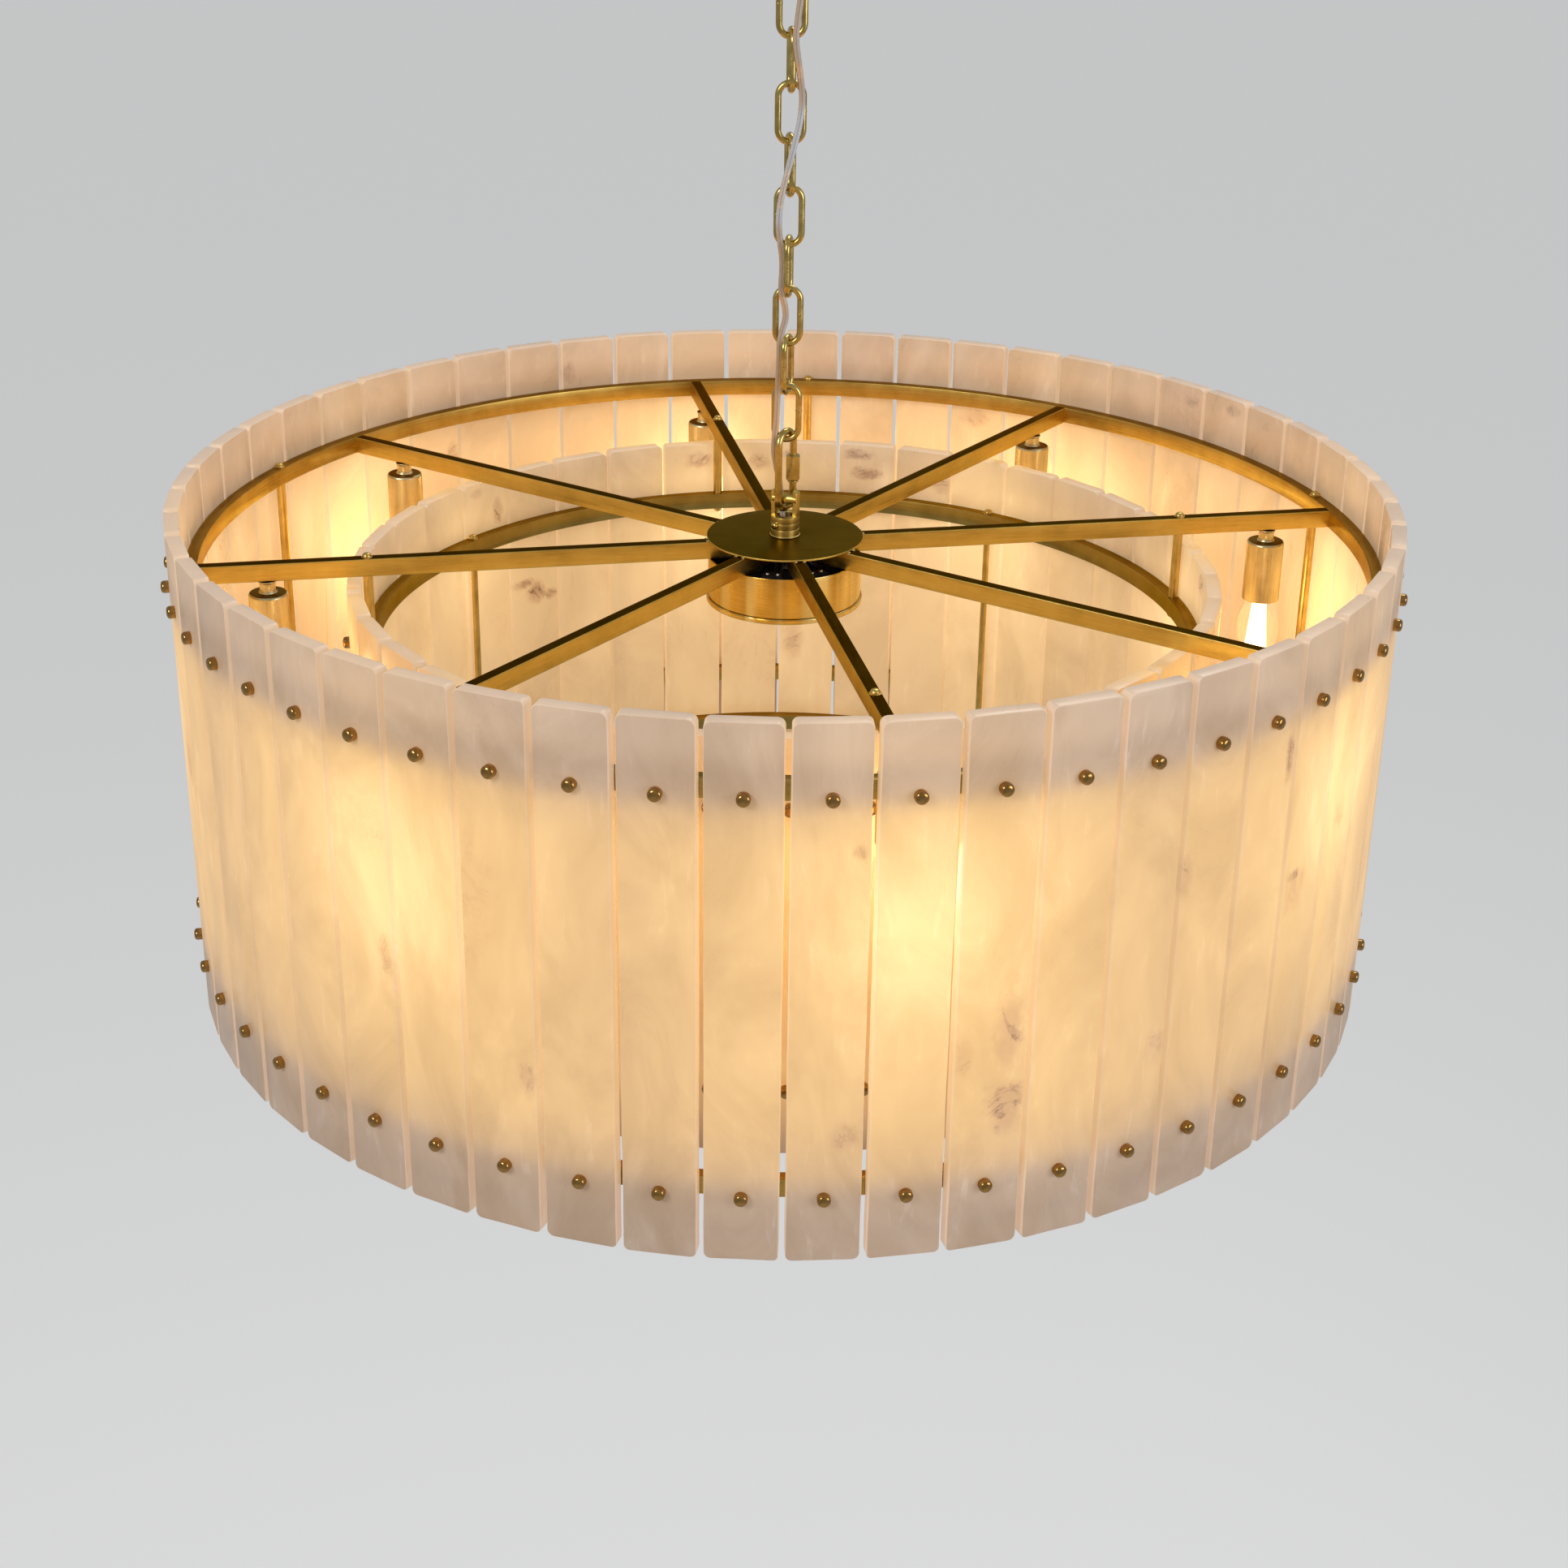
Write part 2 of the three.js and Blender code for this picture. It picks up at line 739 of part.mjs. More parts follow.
function piece(name, geometry, material) {
  const mesh = new THREE.Mesh(geometry, new THREE.MeshStandardMaterial(material));
  mesh.name = name;
  return mesh;
}

// Scene graph

const chandelier = new THREE.Group();

const ceiling = new THREE.Group();
ceiling.add(piece("ceiling_canopy", canopy(), brass));
ceiling.add(piece("canopy_strap", canopyStrap(), steel));
ceiling.add(piece("canopy_loop", canopyLoop(), brass));
chandelier.add(ceiling);

const chain = new THREE.Group();
for (let i = 0; i < linkCount; i += 1) {
  const wire = closedLink(linkBowRadius, linkLegHalf, linkWireRadius);
  const link = piece(`chain_link_${i + 1}`, wire, polishedBrass);
  link.position.z = firstLinkZ - i * linkPitch;
  link.rotation.z = aim(linkAzimuths[i]);
  chain.add(link);
}
chandelier.add(chain);

const quick = new THREE.Group();
quick.position.z = quickZ;
quick.rotation.z = aim(quickAzimuth) + Math.PI;
quick.add(piece("quick_link", quickLink(), polishedBrass));
quick.add(piece("quick_link_nut", quickNut(), polishedBrass));
chandelier.add(quick);

const fixture = new THREE.Group();
fixture.position.z = frameZ;
chandelier.add(fixture);

fixture.add(piece("hanger_yoke", hangerYoke(), brass));
fixture.add(piece("hub_plate", hubPlate(), darkBrass));
fixture.add(piece("wiring_cup", wiringCup(), brass));
fixture.add(piece("wiring_cover", wiringCover(), brass));

azimuthsFrom(spokeAzimuth, spokeCount).forEach((azimuth, i) => {
  const arm = new THREE.Group();
  arm.rotation.z = aim(azimuth);
  arm.add(piece(`spoke_${i + 1}`, spoke(hangers.includes(azimuth)), darkBrass));
  const lamp = new THREE.Group();
  lamp.position.x = lampRadius;
  lamp.add(piece(`lampholder_${i + 1}`, lampholder(), brass));
  lamp.add(piece(`bulb_${i + 1}`, bulb(), clearGlass));
  arm.add(lamp);
  fixture.add(arm);
});

function addRods(name, azimuths, ringRadius, makeRod) {
  azimuths.forEach((azimuth, i) => {
    const stand = new THREE.Group();
    stand.rotation.z = aim(azimuth);
    const mesh = piece(`${name}_${i + 1}`, makeRod(), brass);
    mesh.position.x = ringRadius;
    stand.add(mesh);
    fixture.add(stand);
  });
}

const half = barHeight / 2;
fixture.add(piece("outer_top_ring", outerTopRing(), brass));
fixture.add(piece("outer_slats", outerSlats(), alabaster));
addRods("outer_tie_rod", outerRods, outerRingRadius, () => rod(outerLowRingZ + half, -half, rodRadius));

const innerRing = piece("inner_top_ring", innerTopRing(), brass);
innerRing.position.z = -innerRingDrop;
fixture.add(innerRing);
fixture.add(piece("inner_slats", innerSlats(), alabaster));
addRods("hanger_rod", hangers, innerRingRadius, () => rod(half - innerRingDrop, -half, rodRadius));
const innerLow = innerLowRingZ + half;
const innerHigh = -half - innerRingDrop;
addRods("inner_tie_rod", innerRods, innerRingRadius, () => rod(innerLow, innerHigh, innerRodRadius));

chandelier.add(piece("power_cord", powerCord(), clearFlex));

export default chandelier;
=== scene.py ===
import math
import random

import bmesh
import bpy
from mathutils import Matrix, Vector


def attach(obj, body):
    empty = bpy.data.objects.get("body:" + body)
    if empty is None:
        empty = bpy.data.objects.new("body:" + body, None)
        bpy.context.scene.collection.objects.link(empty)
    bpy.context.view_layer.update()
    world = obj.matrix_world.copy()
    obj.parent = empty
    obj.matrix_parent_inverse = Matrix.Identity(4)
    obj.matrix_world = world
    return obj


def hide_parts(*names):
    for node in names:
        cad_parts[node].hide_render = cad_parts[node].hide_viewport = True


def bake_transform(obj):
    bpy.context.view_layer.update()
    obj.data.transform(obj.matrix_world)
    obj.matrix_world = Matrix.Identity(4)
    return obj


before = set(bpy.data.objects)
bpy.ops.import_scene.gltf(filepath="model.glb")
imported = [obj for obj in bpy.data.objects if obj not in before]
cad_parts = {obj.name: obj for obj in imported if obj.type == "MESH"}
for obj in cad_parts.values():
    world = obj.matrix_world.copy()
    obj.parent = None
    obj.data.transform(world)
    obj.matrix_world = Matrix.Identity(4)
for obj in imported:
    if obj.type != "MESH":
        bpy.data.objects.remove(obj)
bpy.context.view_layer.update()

# Sizes

# Lengths are millimetres unless a line says metres, and azimuths are degrees from the front towards +X.
# Heights of the chain and the cord count from the ceiling, at z = 0, and those of the fitting from FRAME,
# the middle of its spokes.
MM = 0.001
FRAME = -525.0
SEAT = 0.3  # clearance between touching pieces
BAR_WIDTH, BAR_HEIGHT = 10.0, 15.0
BAR_HALF = BAR_HEIGHT / 2
OUTER_RING, INNER_RING = 487.2, 347.0
INNER_TOP_Z, OUTER_LOW_Z, INNER_LOW_Z = -73.5, -313.0, -310.0

SLAT_WIDTH, SLAT_THICKNESS = 53.6, 12.0
SLAT_FOOT = -366.5
OUTER_SLATS = {"count": 54, "azimuth": 3.85, "top": 54.5, "inner": OUTER_RING + BAR_WIDTH / 2 + SEAT}
INNER_SLATS = {"count": 39, "azimuth": 1.02, "top": -18.0, "inner": INNER_RING + BAR_WIDTH / 2 + SEAT}

SPOKE_AZIMUTHS = [11 + 45 * i for i in range(8)]
SPOKE_FROM, SPOKE_TO = 30.0, OUTER_RING - BAR_WIDTH / 2
OUTER_RODS = [33.5 + 72 * i for i in range(5)]
HANGERS = [11 + 90 * i for i in range(4)]
INNER_RODS = [56 + 90 * i for i in range(4)]
ROD_RADIUS, INNER_ROD_RADIUS, STUD_RADIUS = 4.0, 3.0, 2.2

LINK_AZIMUTHS = [90, 7, 90, 12, 90, -8, 90, -17, 90]
LINK_SEAMS = [-1, 1, 1, 1, -1, 1, 1, 1, 1]  # the leg that has the weld, +1 at the azimuth
FIRST_LINK, LINK_PITCH = -88.55, 40.2
LINK_WIRE, LINK_BOW, LINK_LEG = 2.6, 9.9, 12.95  # radii of the wire and of a bow, and half a straight leg
QUICK_Z, QUICK_WIRE, QUICK_BOW, QUICK_LEG = -459.2, 3.0, 10.5, 22.4
QUICK_AZIMUTH = 145  # of the leg that carries the nut
NUT_FOOT, NUT_LENGTH, NUT_ACROSS = -11.1, 21.6, 11.0  # its foot counts from the quick link's middle
GAP_FOOT, GAP = NUT_FOOT + 2, 7.5  # the opening in the wire, which the nut covers

FORK_AZIMUTH = 70  # of one cheek of the yoke
YOKE_RADIUS, CROSS_PIN_Z = 12.0, 41.0
HUB_TOP, HUB_FOOT, HUB_RADIUS = 9.4, 7.8, 65.5
CUP_TOP, CUP_FOOT, CUP_RADIUS = -7.8, -42.4, 64.5
COVER_FOOT, COVER_RADIUS = -47.2, 66.0

LAMP_RADIUS = 428.0  # from the axis to the lamps
HOLDER_TOP, HOLDER_MOUTH = -17.8, -71.8
BULB_TOP = -42.1  # upper end of a bulb's base, in its socket

CORD_ROUTE = [
    (12, -14, -14), (12, -14, -30), (11.4, -13.8, -46), (9.4, -12.6, -62), (6.8, -11.8, -80),
    (4.6, -12.8, -97), (3.4, -14, -112), (5.4, -11.7, -128), (7.6, -6.6, -144), (8.9, -4.7, -159),
    (7, -9, -176), (2.8, -14.6, -193), (-1.3, -14.6, -210), (-5, -10, -226), (-7.6, -5, -242),
    (-8.2, -4.8, -257), (-6.9, -4.9, -269), (-5.4, -3.9, -280), (-5, -3.2, -291), (-5.5, -4.7, -302),
    (-5.3, -4.9, -311), (-2.6, -3.4, -321), (-1.9, -2.8, -331), (-4.9, -4.4, -343), (-6.3, -4.8, -351),
    (-6.6, -4.8, -364), (-7, -4.7, -378), (-7.6, -4.7, -398), (-8.4, -4.7, -418), (-9.6, -4.8, -430),
    (-9.8, -3.6, -443), (-7.8, -2.4, -456), (-5.6, 2.2, -468), (-4.4, 7, -479), (-3.6, 7.2, -488),
    (-2.4, 4.2, -498), (-1.2, 1.6, -510), (0, 0, -526), (0, 0, -546),
]

# Painted glow and veins of the stone

GLOW_Z = -97.0  # middle of the bulbs' glow
GLOW_REACH = 0.072  # metres from a lamp to the slats
CORE_SHARE, EVEN_SHARE = 0.57, 0.39  # of a slat's painted glow: the patch before a lamp, and the even glow
WALL_GLOW, BAND_WALL_GLOW = 0.16, 0.24  # extra painted glow on a slat's sides, and on those in a ring's painted shadow

# Veins of a slat, up to MARK_LAYERS of them: across, height, half width, half height and strength.
MARK_LAYERS = 3
OUTER_MARKS = {
    1: [(20, -40, 8, 9, 0.5), (14, -262, 16, 18, 0.45)],
    3: [(13, -190, 14, 50, 0.8), (13, -248, 24, 30, 0.85), (-20, -203, 9, 26, 0.35)],
    5: [(18, -232, 12, 22, 0.4)],
    6: [(-22, -97, 10, 26, 0.45)],
    7: [(22.5, -34, 6.5, 34, 0.95)],
    8: [(-12, -139, 15, 8, 0.95), (-10, -150, 20, 26, 0.4)],
    9: [(1, -113, 14, 20, 0.3)],
    19: [(-12, 44, 14, 8, 0.8)],
    20: [(-14, 40, 16, 10, 0.8)],
    24: [(2, -21, 20, 14, 0.6)],
    31: [(20, 24, 10, 16, 0.7)],
    34: [(-20, -40, 9, 18, 0.6)],
    44: [(6, -120, 18, 30, 0.45)],
    49: [(20, -169, 10, 24, 0.5)],
    51: [(20, -237, 10, 22, 0.5)],
}
INNER_MARKS = {
    3: [(-6, -140, 16, 26, 0.5)],
    11: [(-18, -30, 14, 12, 0.8)],
    18: [(-20, -49, 12, 12, 0.8)],
    19: [(8, -27, 22, 7, 1.0), (-2, -46, 25, 9, 1.0), (-10, -76, 20, 18, 0.6)],
    20: [(20, -30, 8, 8, 0.6), (10, -120, 14, 18, 0.4), (14, -226, 16, 28, 0.6)],
    21: [(-8, -38, 14, 12, 0.6)],
    22: [(-6, -34, 18, 12, 0.7)],
    25: [(-3, -142, 17, 15, 1.0), (14, -131, 17, 7, 0.9), (-18, -147, 12, 9, 0.9)],
    26: [(-15, -50, 9, 16, 0.9), (12, -28, 12, 7, 0.6)],
    35: [(4, -90, 18, 24, 0.5)],
}

scene = bpy.context.scene
scene.view_settings.view_transform = "Standard"


# Placing

def turned(azimuth, x=0.0, z=0.0):
    """Takes a form made along +X to an azimuth, at a distance x from the axis and a height z."""
    return (
        Matrix.Translation((0, 0, z))
        @ Matrix.Rotation(math.radians(azimuth - 90), 4, "Z")
        @ Matrix.Translation((x, 0, 0))
    )


IN_FITTING = Matrix.Translation((0, 0, FRAME))
ONTO_X = Matrix.Rotation(math.pi / 2, 4, "Y")  # lays a form that stands along Z along X


# Shapes

EDGE_SHARE = 0.45  # most of an edge that one rounded corner takes
ON_AXIS = 1e-6


def soften(points, radius, closed=False, steps=3):
    """Rounds the corners of a profile."""
    points = [Vector(p) for p in points]
    count, out = len(points), []
    for i, corner in enumerate(points):
        if not closed and i in (0, count - 1):
            out.append(corner)
            continue
        before, after = points[i - 1] - corner, points[(i + 1) % count] - corner
        cut = min(radius, before.length * EDGE_SHARE, after.length * EDGE_SHARE)
        start, end = corner + before.normalized() * cut, corner + after.normalized() * cut
        for k in range(steps + 1):
            t = k / steps
            out.append(start * (1 - t) ** 2 + corner * 2 * t * (1 - t) + end * t * t)
    return [tuple(p) for p in out]


def circle(radius, sides):
    angles = [2 * math.pi * i / sides for i in range(sides)]
    return [(radius * math.cos(a), radius * math.sin(a)) for a in angles]


def lathe(profile, sides, closed=False):
    """Turns (radius, z) points about Z. A point on the axis closes the form."""
    verts, rings, faces = [], [], []
    for radius, z in profile:
        first = len(verts)
        if radius < ON_AXIS:
            verts.append((0, 0, z))
            rings.append([first])
            continue
        verts += [(x, y, z) for x, y in circle(radius, sides)]
        rings.append(list(range(first, first + sides)))
    pairs = list(zip(rings, rings[1:]))
    if closed:
        pairs.append((rings[-1], rings[0]))
    for low, high in pairs:
        for i in range(sides):
            j = (i + 1) % sides
            if len(low) == 1 and len(high) > 1:
                faces.append((low[0], high[j], high[i]))
            elif len(high) == 1 and len(low) > 1:
                faces.append((low[i], low[j], high[0]))
            elif len(high) > 1:
                faces.append((low[i], low[j], high[j], high[i]))
    return verts, faces


def turning(profile, rounding, sides, closed=False):
    """Turns a profile about Z with its corners rounded. A closed one makes a ring."""
    return lathe(soften(profile, rounding, closed), sides, closed)


def loft(loops, closed=False):
    """Joins equal loops of points in turn, and caps the ends unless they close on each other."""
    size, verts, faces = len(loops[0]), [p for loop in loops for p in loop], []
    spans = len(loops) if closed else len(loops) - 1
    for k in range(spans):
        a, b = k * size, ((k + 1) % len(loops)) * size
        for i in range(size):
            j = (i + 1) % size
            faces.append((a + i, a + j, b + j, b + i))
    if not closed:
        faces.append(tuple(reversed(range(size))))
        faces.append(tuple(range((len(loops) - 1) * size, len(loops) * size)))
    return verts, faces


def sweep(path, section, closed=False, side=(0, 1, 0), steady=False):
    """Carries a section of (side, other) points along a path without twist. A steady one takes its side
    anew at each point."""
    path = [Vector(p) for p in path]
    count, loops = len(path), []
    normal = Vector(side)
    for i, point in enumerate(path):
        ahead = path[(i + 1) % count] if closed or i < count - 1 else point
        back = path[i - 1] if closed or i > 0 else point
        along = (ahead - back).normalized()
        if steady:
            normal = Vector(side)
        normal = (normal - along * normal.dot(along)).normalized()
        other = along.cross(normal)
        loops.append([point + normal * a + other * b for a, b in section])
    return loft(loops, closed)


def smooth_route(points, steps):
    """Catmull-Rom points through the route."""
    points = [Vector(p) for p in points]
    ends = [points[0] * 2 - points[1]] + points + [points[-1] * 2 - points[-2]]
    out = []
    for a, b, c, d in zip(ends, ends[1:], ends[2:], ends[3:]):
        for k in range(steps):
            t = k / steps
            line = (b * 2) + (c - a) * t
            bend = (a * 2 - b * 5 + c * 4 - d) * t * t
            out.append((line + bend + (b * 3 - a - c * 3 + d) * t ** 3) / 2)
    return out + [points[-1]]


def block(width, depth, height, bevel):
    """A box centred on its middle, along X, with rounded long edges."""
    y, z = depth / 2, height / 2
    outline = soften([(-y, -z), (y, -z), (y, z), (-y, z)], bevel, closed=True)
    return loft([[(x, *point) for point in outline] for x in (-width / 2, width / 2)])


def oval(bow, leg, bow_steps=20, leg_steps=6, ends=None):
    """Centre line of a link in the XZ plane, from the +X leg over the top. ends are the top and foot of a
    gap in that leg."""
    points = []
    if ends:
        points += [(bow, 0, ends[0] + (leg - ends[0]) * k / leg_steps) for k in range(leg_steps)]
    for side in (1, -1):
        for k in range(bow_steps + 1):
            angle = math.pi * k / bow_steps
            points.append((side * bow * math.cos(angle), 0, side * (leg + bow * math.sin(angle))))
        if ends and side < 0:
            points += [(bow, 0, -leg + (ends[1] + leg) * (k + 1) / leg_steps) for k in range(leg_steps)]
        else:
            heights = [side * leg * (1 - 2 * (k + 1) / leg_steps) for k in range(leg_steps - 1)]
            points += [(-side * bow, 0, z) for z in heights]
    return points


# Pieces

BRASS = ("antique_brass", "fixture")  # slot and body of most pieces


def mark(piece, name, values, kind="FLOAT"):
    """Keeps a value for each point of a piece, for the materials."""
    attribute = piece.data.attributes.new(name, kind, "POINT")
    attribute.data.foreach_set("value" if kind == "FLOAT" else "vector", values)


def turn_faces_out(mesh):
    work = bmesh.new()
    work.from_mesh(mesh)
    bmesh.ops.recalc_face_normals(work, faces=work.faces)
    work.to_mesh(mesh)
    work.free()


class Form:
    """One piece of the object, gathered from several shapes. It keeps each point's place in its own
    shape, which the materials use for grain and veins."""

    def __init__(self):
        self.verts, self.faces, self.local = [], [], []

    def add(self, shape, matrix=Matrix(), offset=(0, 0, 0)):
        verts, faces = shape
        first = len(self.verts)
        shift = Vector(offset)
        for vert in verts:
            self.local.append((Vector(vert) + shift) * MM)
            self.verts.append(matrix @ Vector(vert) * MM)
        self.faces += [[first + i for i in face] for face in faces]
        return self

    def made(self, name, material, slot, body=None, nodes=(), sharp=35):
        """Makes the piece. nodes are the CAD nodes that it replaces."""
        mesh = bpy.data.meshes.new(name)
        mesh.from_pydata(self.verts, [], self.faces)
        mesh.update()
        piece = bpy.data.objects.new(name, mesh)
        mark(piece, "local", [c for point in self.local for c in point], "FLOAT_VECTOR")
        scene.collection.objects.link(piece)
        turn_faces_out(mesh)
        mesh.shade_smooth()
        mesh.set_sharp_from_angle(angle=math.radians(sharp))
        mesh.materials.append(material)
        if nodes:
            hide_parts(*nodes)
        if body:
            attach(piece, body)
        return piece


# Materials

class Nodes:
    """A material's node tree, written as sums."""

    def __init__(self, name):
        self.material = bpy.data.materials.new(name)
        self.material.use_nodes = True
        self.tree = self.material.node_tree
        self.shader = self.tree.nodes["Principled BSDF"]

    def put(self, kind, inputs=None, **settings):
        made = self.tree.nodes.new("ShaderNode" + kind)
        for key, value in settings.items():
            setattr(made, key, value)
        for key, value in (inputs or {}).items():
            self.feed(made.inputs[key], value)
        return made

    def feed(self, socket, value):
        if isinstance(value, bpy.types.NodeSocket):
            self.tree.links.new(value, socket)
        else:
            socket.default_value = value

    def math(self, operation, *values, clamp=False):
        made = self.put("Math", operation=operation, use_clamp=clamp)
        for socket, value in zip(made.inputs, values):
            self.feed(socket, value)
        return made.outputs[0]

    def plus(self, a, b):
        return self.math("ADD", a, b)

    def less(self, a, b):
        return self.math("SUBTRACT", a, b)

    def times(self, a, b):
        return self.math("MULTIPLY", a, b)

    def times_plus(self, a, b, c, clamp=False):
        return self.math("MULTIPLY_ADD", a, b, c, clamp=clamp)

    def length(self, x, y):
        return self.math("SQRT", self.times_plus(x, x, self.times(y, y)))

    def vector(self, x, y, z):
        return self.put("CombineXYZ", {"X": x, "Y": y, "Z": z}).outputs[0]

    def parts(self, vector):
        """X, Y and Z of a vector."""
        return tuple(self.put("SeparateXYZ", {"Vector": vector}).outputs)

    def place(self, output):
        """X, Y and Z of a point of the unmoved piece, or of its normal there."""
        return self.parts(self.put("TexCoord").outputs[output])

    def attribute(self, name, output="Fac"):
        return self.put("Attribute", attribute_name=name).outputs[output]

    def local(self):
        return self.attribute("local", "Vector")

    def ramp(self, value, low, high, start=0.0, end=1.0):
        """Smooth step of a value from start to end between low and high."""
        made = self.put(
            "MapRange",
            {"Value": value, "From Min": low, "From Max": high, "To Min": start, "To Max": end},
            interpolation_type="SMOOTHSTEP",
        )
        return made.outputs[0]

    def mix(self, factor, a, b):
        made = self.put("Mix", data_type="RGBA")
        self.feed(made.inputs["Factor"], factor)
        self.feed(made.inputs[6], a)
        self.feed(made.inputs[7], b)
        return made.outputs[2]

    def stretched(self, vector, scale, rotation=(0, 0, 0)):
        return self.put("Mapping", {"Vector": vector, "Scale": scale, "Rotation": rotation}).outputs[0]

    def noise(self, vector, scale, detail=3.0, roughness=0.5, distortion=0.0):
        inputs = {"Vector": vector, "Scale": scale, "Detail": detail, "Roughness": roughness}
        return self.put("TexNoise", {**inputs, "Distortion": distortion}).outputs["Fac"]

    def set(self, **sockets):
        for key, value in sockets.items():
            self.feed(self.shader.inputs[key.replace("_", " ")], value)

    def bump(self, height, distance, strength):
        made = self.put("Bump", {"Height": height, "Distance": distance, "Strength": strength})
        self.feed(self.shader.inputs["Normal"], made.outputs[0])


def rgb(r, g, b):
    return (r, g, b, 1.0)


def scaled(colour, share):
    return rgb(*[c * share for c in colour[:3]])


ALONG_X, ALONG_Z, AROUND_Z = (40, 900, 900), (900, 900, 40), (14, 14, 1600)  # how fine the lines are


def brushed(name, light, dark, grain=ALONG_X, roughness=(0.26, 0.4), top=None, edge=(0.9, 0.8, 0.6),
            stretch=None, sheen=None):
    """Satin metal with fine lines. top is a dark colour painted on the faces that look up, a painted dark
    reflection, and edge the tint at a glancing look. A form with a stretch, which is that of its highlights,
    was turned about Z: its lines go around Z. sheen is a paler colour painted in upright bands, a painted
    highlight."""
    nodes = Nodes(name)
    local = nodes.local()
    if stretch is None:
        along = nodes.stretched(local, grain)
    else:
        x, y, z = nodes.parts(local)
        radius = nodes.length(x, y)
        out, up = nodes.times(radius, grain[2]), nodes.times(z, grain[2])
        along = nodes.vector(out, nodes.times(x, grain[0]), up)
    lines = nodes.noise(along, 1.0, 4, 0.6)
    cloud = nodes.noise(local, 38.0, 4, 0.6)
    tint = nodes.ramp(nodes.times_plus(lines, 0.5, nodes.times(cloud, 0.5)), 0.36, 0.64)
    colour = nodes.mix(tint, dark, light)
    # Painted highlight: paler upright bands in the colour.
    if sheen:
        around = nodes.vector(nodes.math("DIVIDE", x, radius), nodes.math("DIVIDE", y, radius), 0.0)
        painted_highlight_band = nodes.ramp(nodes.noise(around, 2.8, 2), 0.44, 0.6)
        colour = nodes.mix(painted_highlight_band, colour, sheen)
    # Painted dark reflection: the faces that look up get the darker top colour.
    if top:
        facing = nodes.ramp(nodes.place("Normal")[2], 0.75, 0.95)
        colour = nodes.mix(facing, colour, nodes.mix(tint, top, scaled(top, 1.5)))
    rough = nodes.plus(lines, nodes.times(cloud, 0.4))
    nodes.set(
        Base_Color=colour,
        Metallic=1.0,
        Roughness=nodes.ramp(rough, 0.4, 1.0, *roughness),
        Specular_Tint=rgb(*edge),
        Anisotropic=stretch or 0.0,
        Anisotropic_Rotation=0.25,
    )
    nodes.bump(lines, distance=0.00004, strength=0.5)
    return nodes.material


def polished(name, light, dark, roughness=(0.1, 0.2)):
    """Bright metal with faint smears and small dents."""
    nodes = Nodes(name)
    local = nodes.local()
    smear = nodes.noise(local, 120.0, 4, 0.6, distortion=0.6)
    nodes.set(
        Base_Color=nodes.mix(nodes.ramp(smear, 0.3, 0.7), dark, light),
        Metallic=1.0,
        Roughness=nodes.ramp(smear, 0.35, 0.75, *roughness),
    )
    nodes.bump(nodes.noise(local, 420.0, 2), distance=0.00002, strength=0.4)
    return nodes.material


def plain(name, colour, roughness, metallic=0.0):
    """A quiet surface with slight variation."""
    nodes = Nodes(name)
    mottle = nodes.noise(nodes.local(), 160.0, 4, 0.6)
    nodes.set(
        Base_Color=nodes.mix(nodes.ramp(mottle, 0.3, 0.7), scaled(colour, 0.78), colour),
        Metallic=metallic,
        Roughness=nodes.ramp(mottle, 0.3, 0.7, roughness, roughness + 0.1),
    )
    nodes.bump(mottle, distance=0.00005, strength=0.4)
    return nodes.material


STONE_DEEP, STONE_PALE, STONE_FLAKE = rgb(0.50, 0.35, 0.245), rgb(0.62, 0.47, 0.37), rgb(0.80, 0.70, 0.62)
STONE_PATCH, STONE_VEIN = rgb(0.42, 0.25, 0.16), rgb(0.13, 0.07, 0.04)
# Painted light: paler colours for the slats' faces that look up and for their top ends.
STONE_TOP_FACE_PAINTED_LIGHT, STONE_TOP_END_PAINTED_LIGHT = rgb(0.74, 0.60, 0.48), rgb(0.74, 0.60, 0.50)
# Painted shade for the slats' sides in the gaps, and the orange of stone painted as lit by the lamps.
STONE_WALL_PAINTED_SHADE, STONE_LIT = rgb(0.26, 0.22, 0.19), rgb(0.57, 0.37, 0.15)
# Colours of the painted glow that stands in for the lamps' light through the stone.
GLOW_DIM, GLOW_BRIGHT, GLOW_INSIDE = rgb(1.0, 0.57, 0.18), rgb(1.0, 0.64, 0.25), rgb(1.0, 0.72, 0.38)
GLOW_VEIN, GLOW_WALL, GLOW_BAND_WALL = rgb(1.0, 0.38, 0.09), rgb(1.0, 0.70, 0.38), rgb(1.0, 0.78, 0.58)


def veins(nodes, local):
    """How much of a vein's patch a point lies in, and how dark the vein itself is there."""
    patch = nodes.ramp(nodes.noise(local, 4.6, distortion=0.4), 0.6, 0.76, 0.0, 0.3)
    ragged = nodes.noise(local, 55.0, 4, 0.65)
    for k in range(MARK_LAYERS):
        across, up, strength = nodes.parts(nodes.attribute(f"mark_{k}", "Vector"))
        near = nodes.ramp(nodes.times_plus(ragged, 1.1, nodes.length(across, up)), 0.8, 1.5, 1.0, 0.0)
        patch = nodes.math("MAXIMUM", patch, nodes.times(near, strength))
    crease = nodes.noise(local, 22.0, 8, 0.7, distortion=0.9)
    line = nodes.math("ABSOLUTE", nodes.less(crease, 0.5))
    vein = nodes.times(nodes.ramp(line, 0.0, 0.05, 1.0, 0.0), patch)
    speck = nodes.times(nodes.ramp(nodes.noise(local, 170.0, 4, 0.7), 0.5, 0.66), vein)
    shade = nodes.math("ADD", nodes.times(vein, 0.36), nodes.times(speck, 0.5), clamp=True)
    return patch, shade


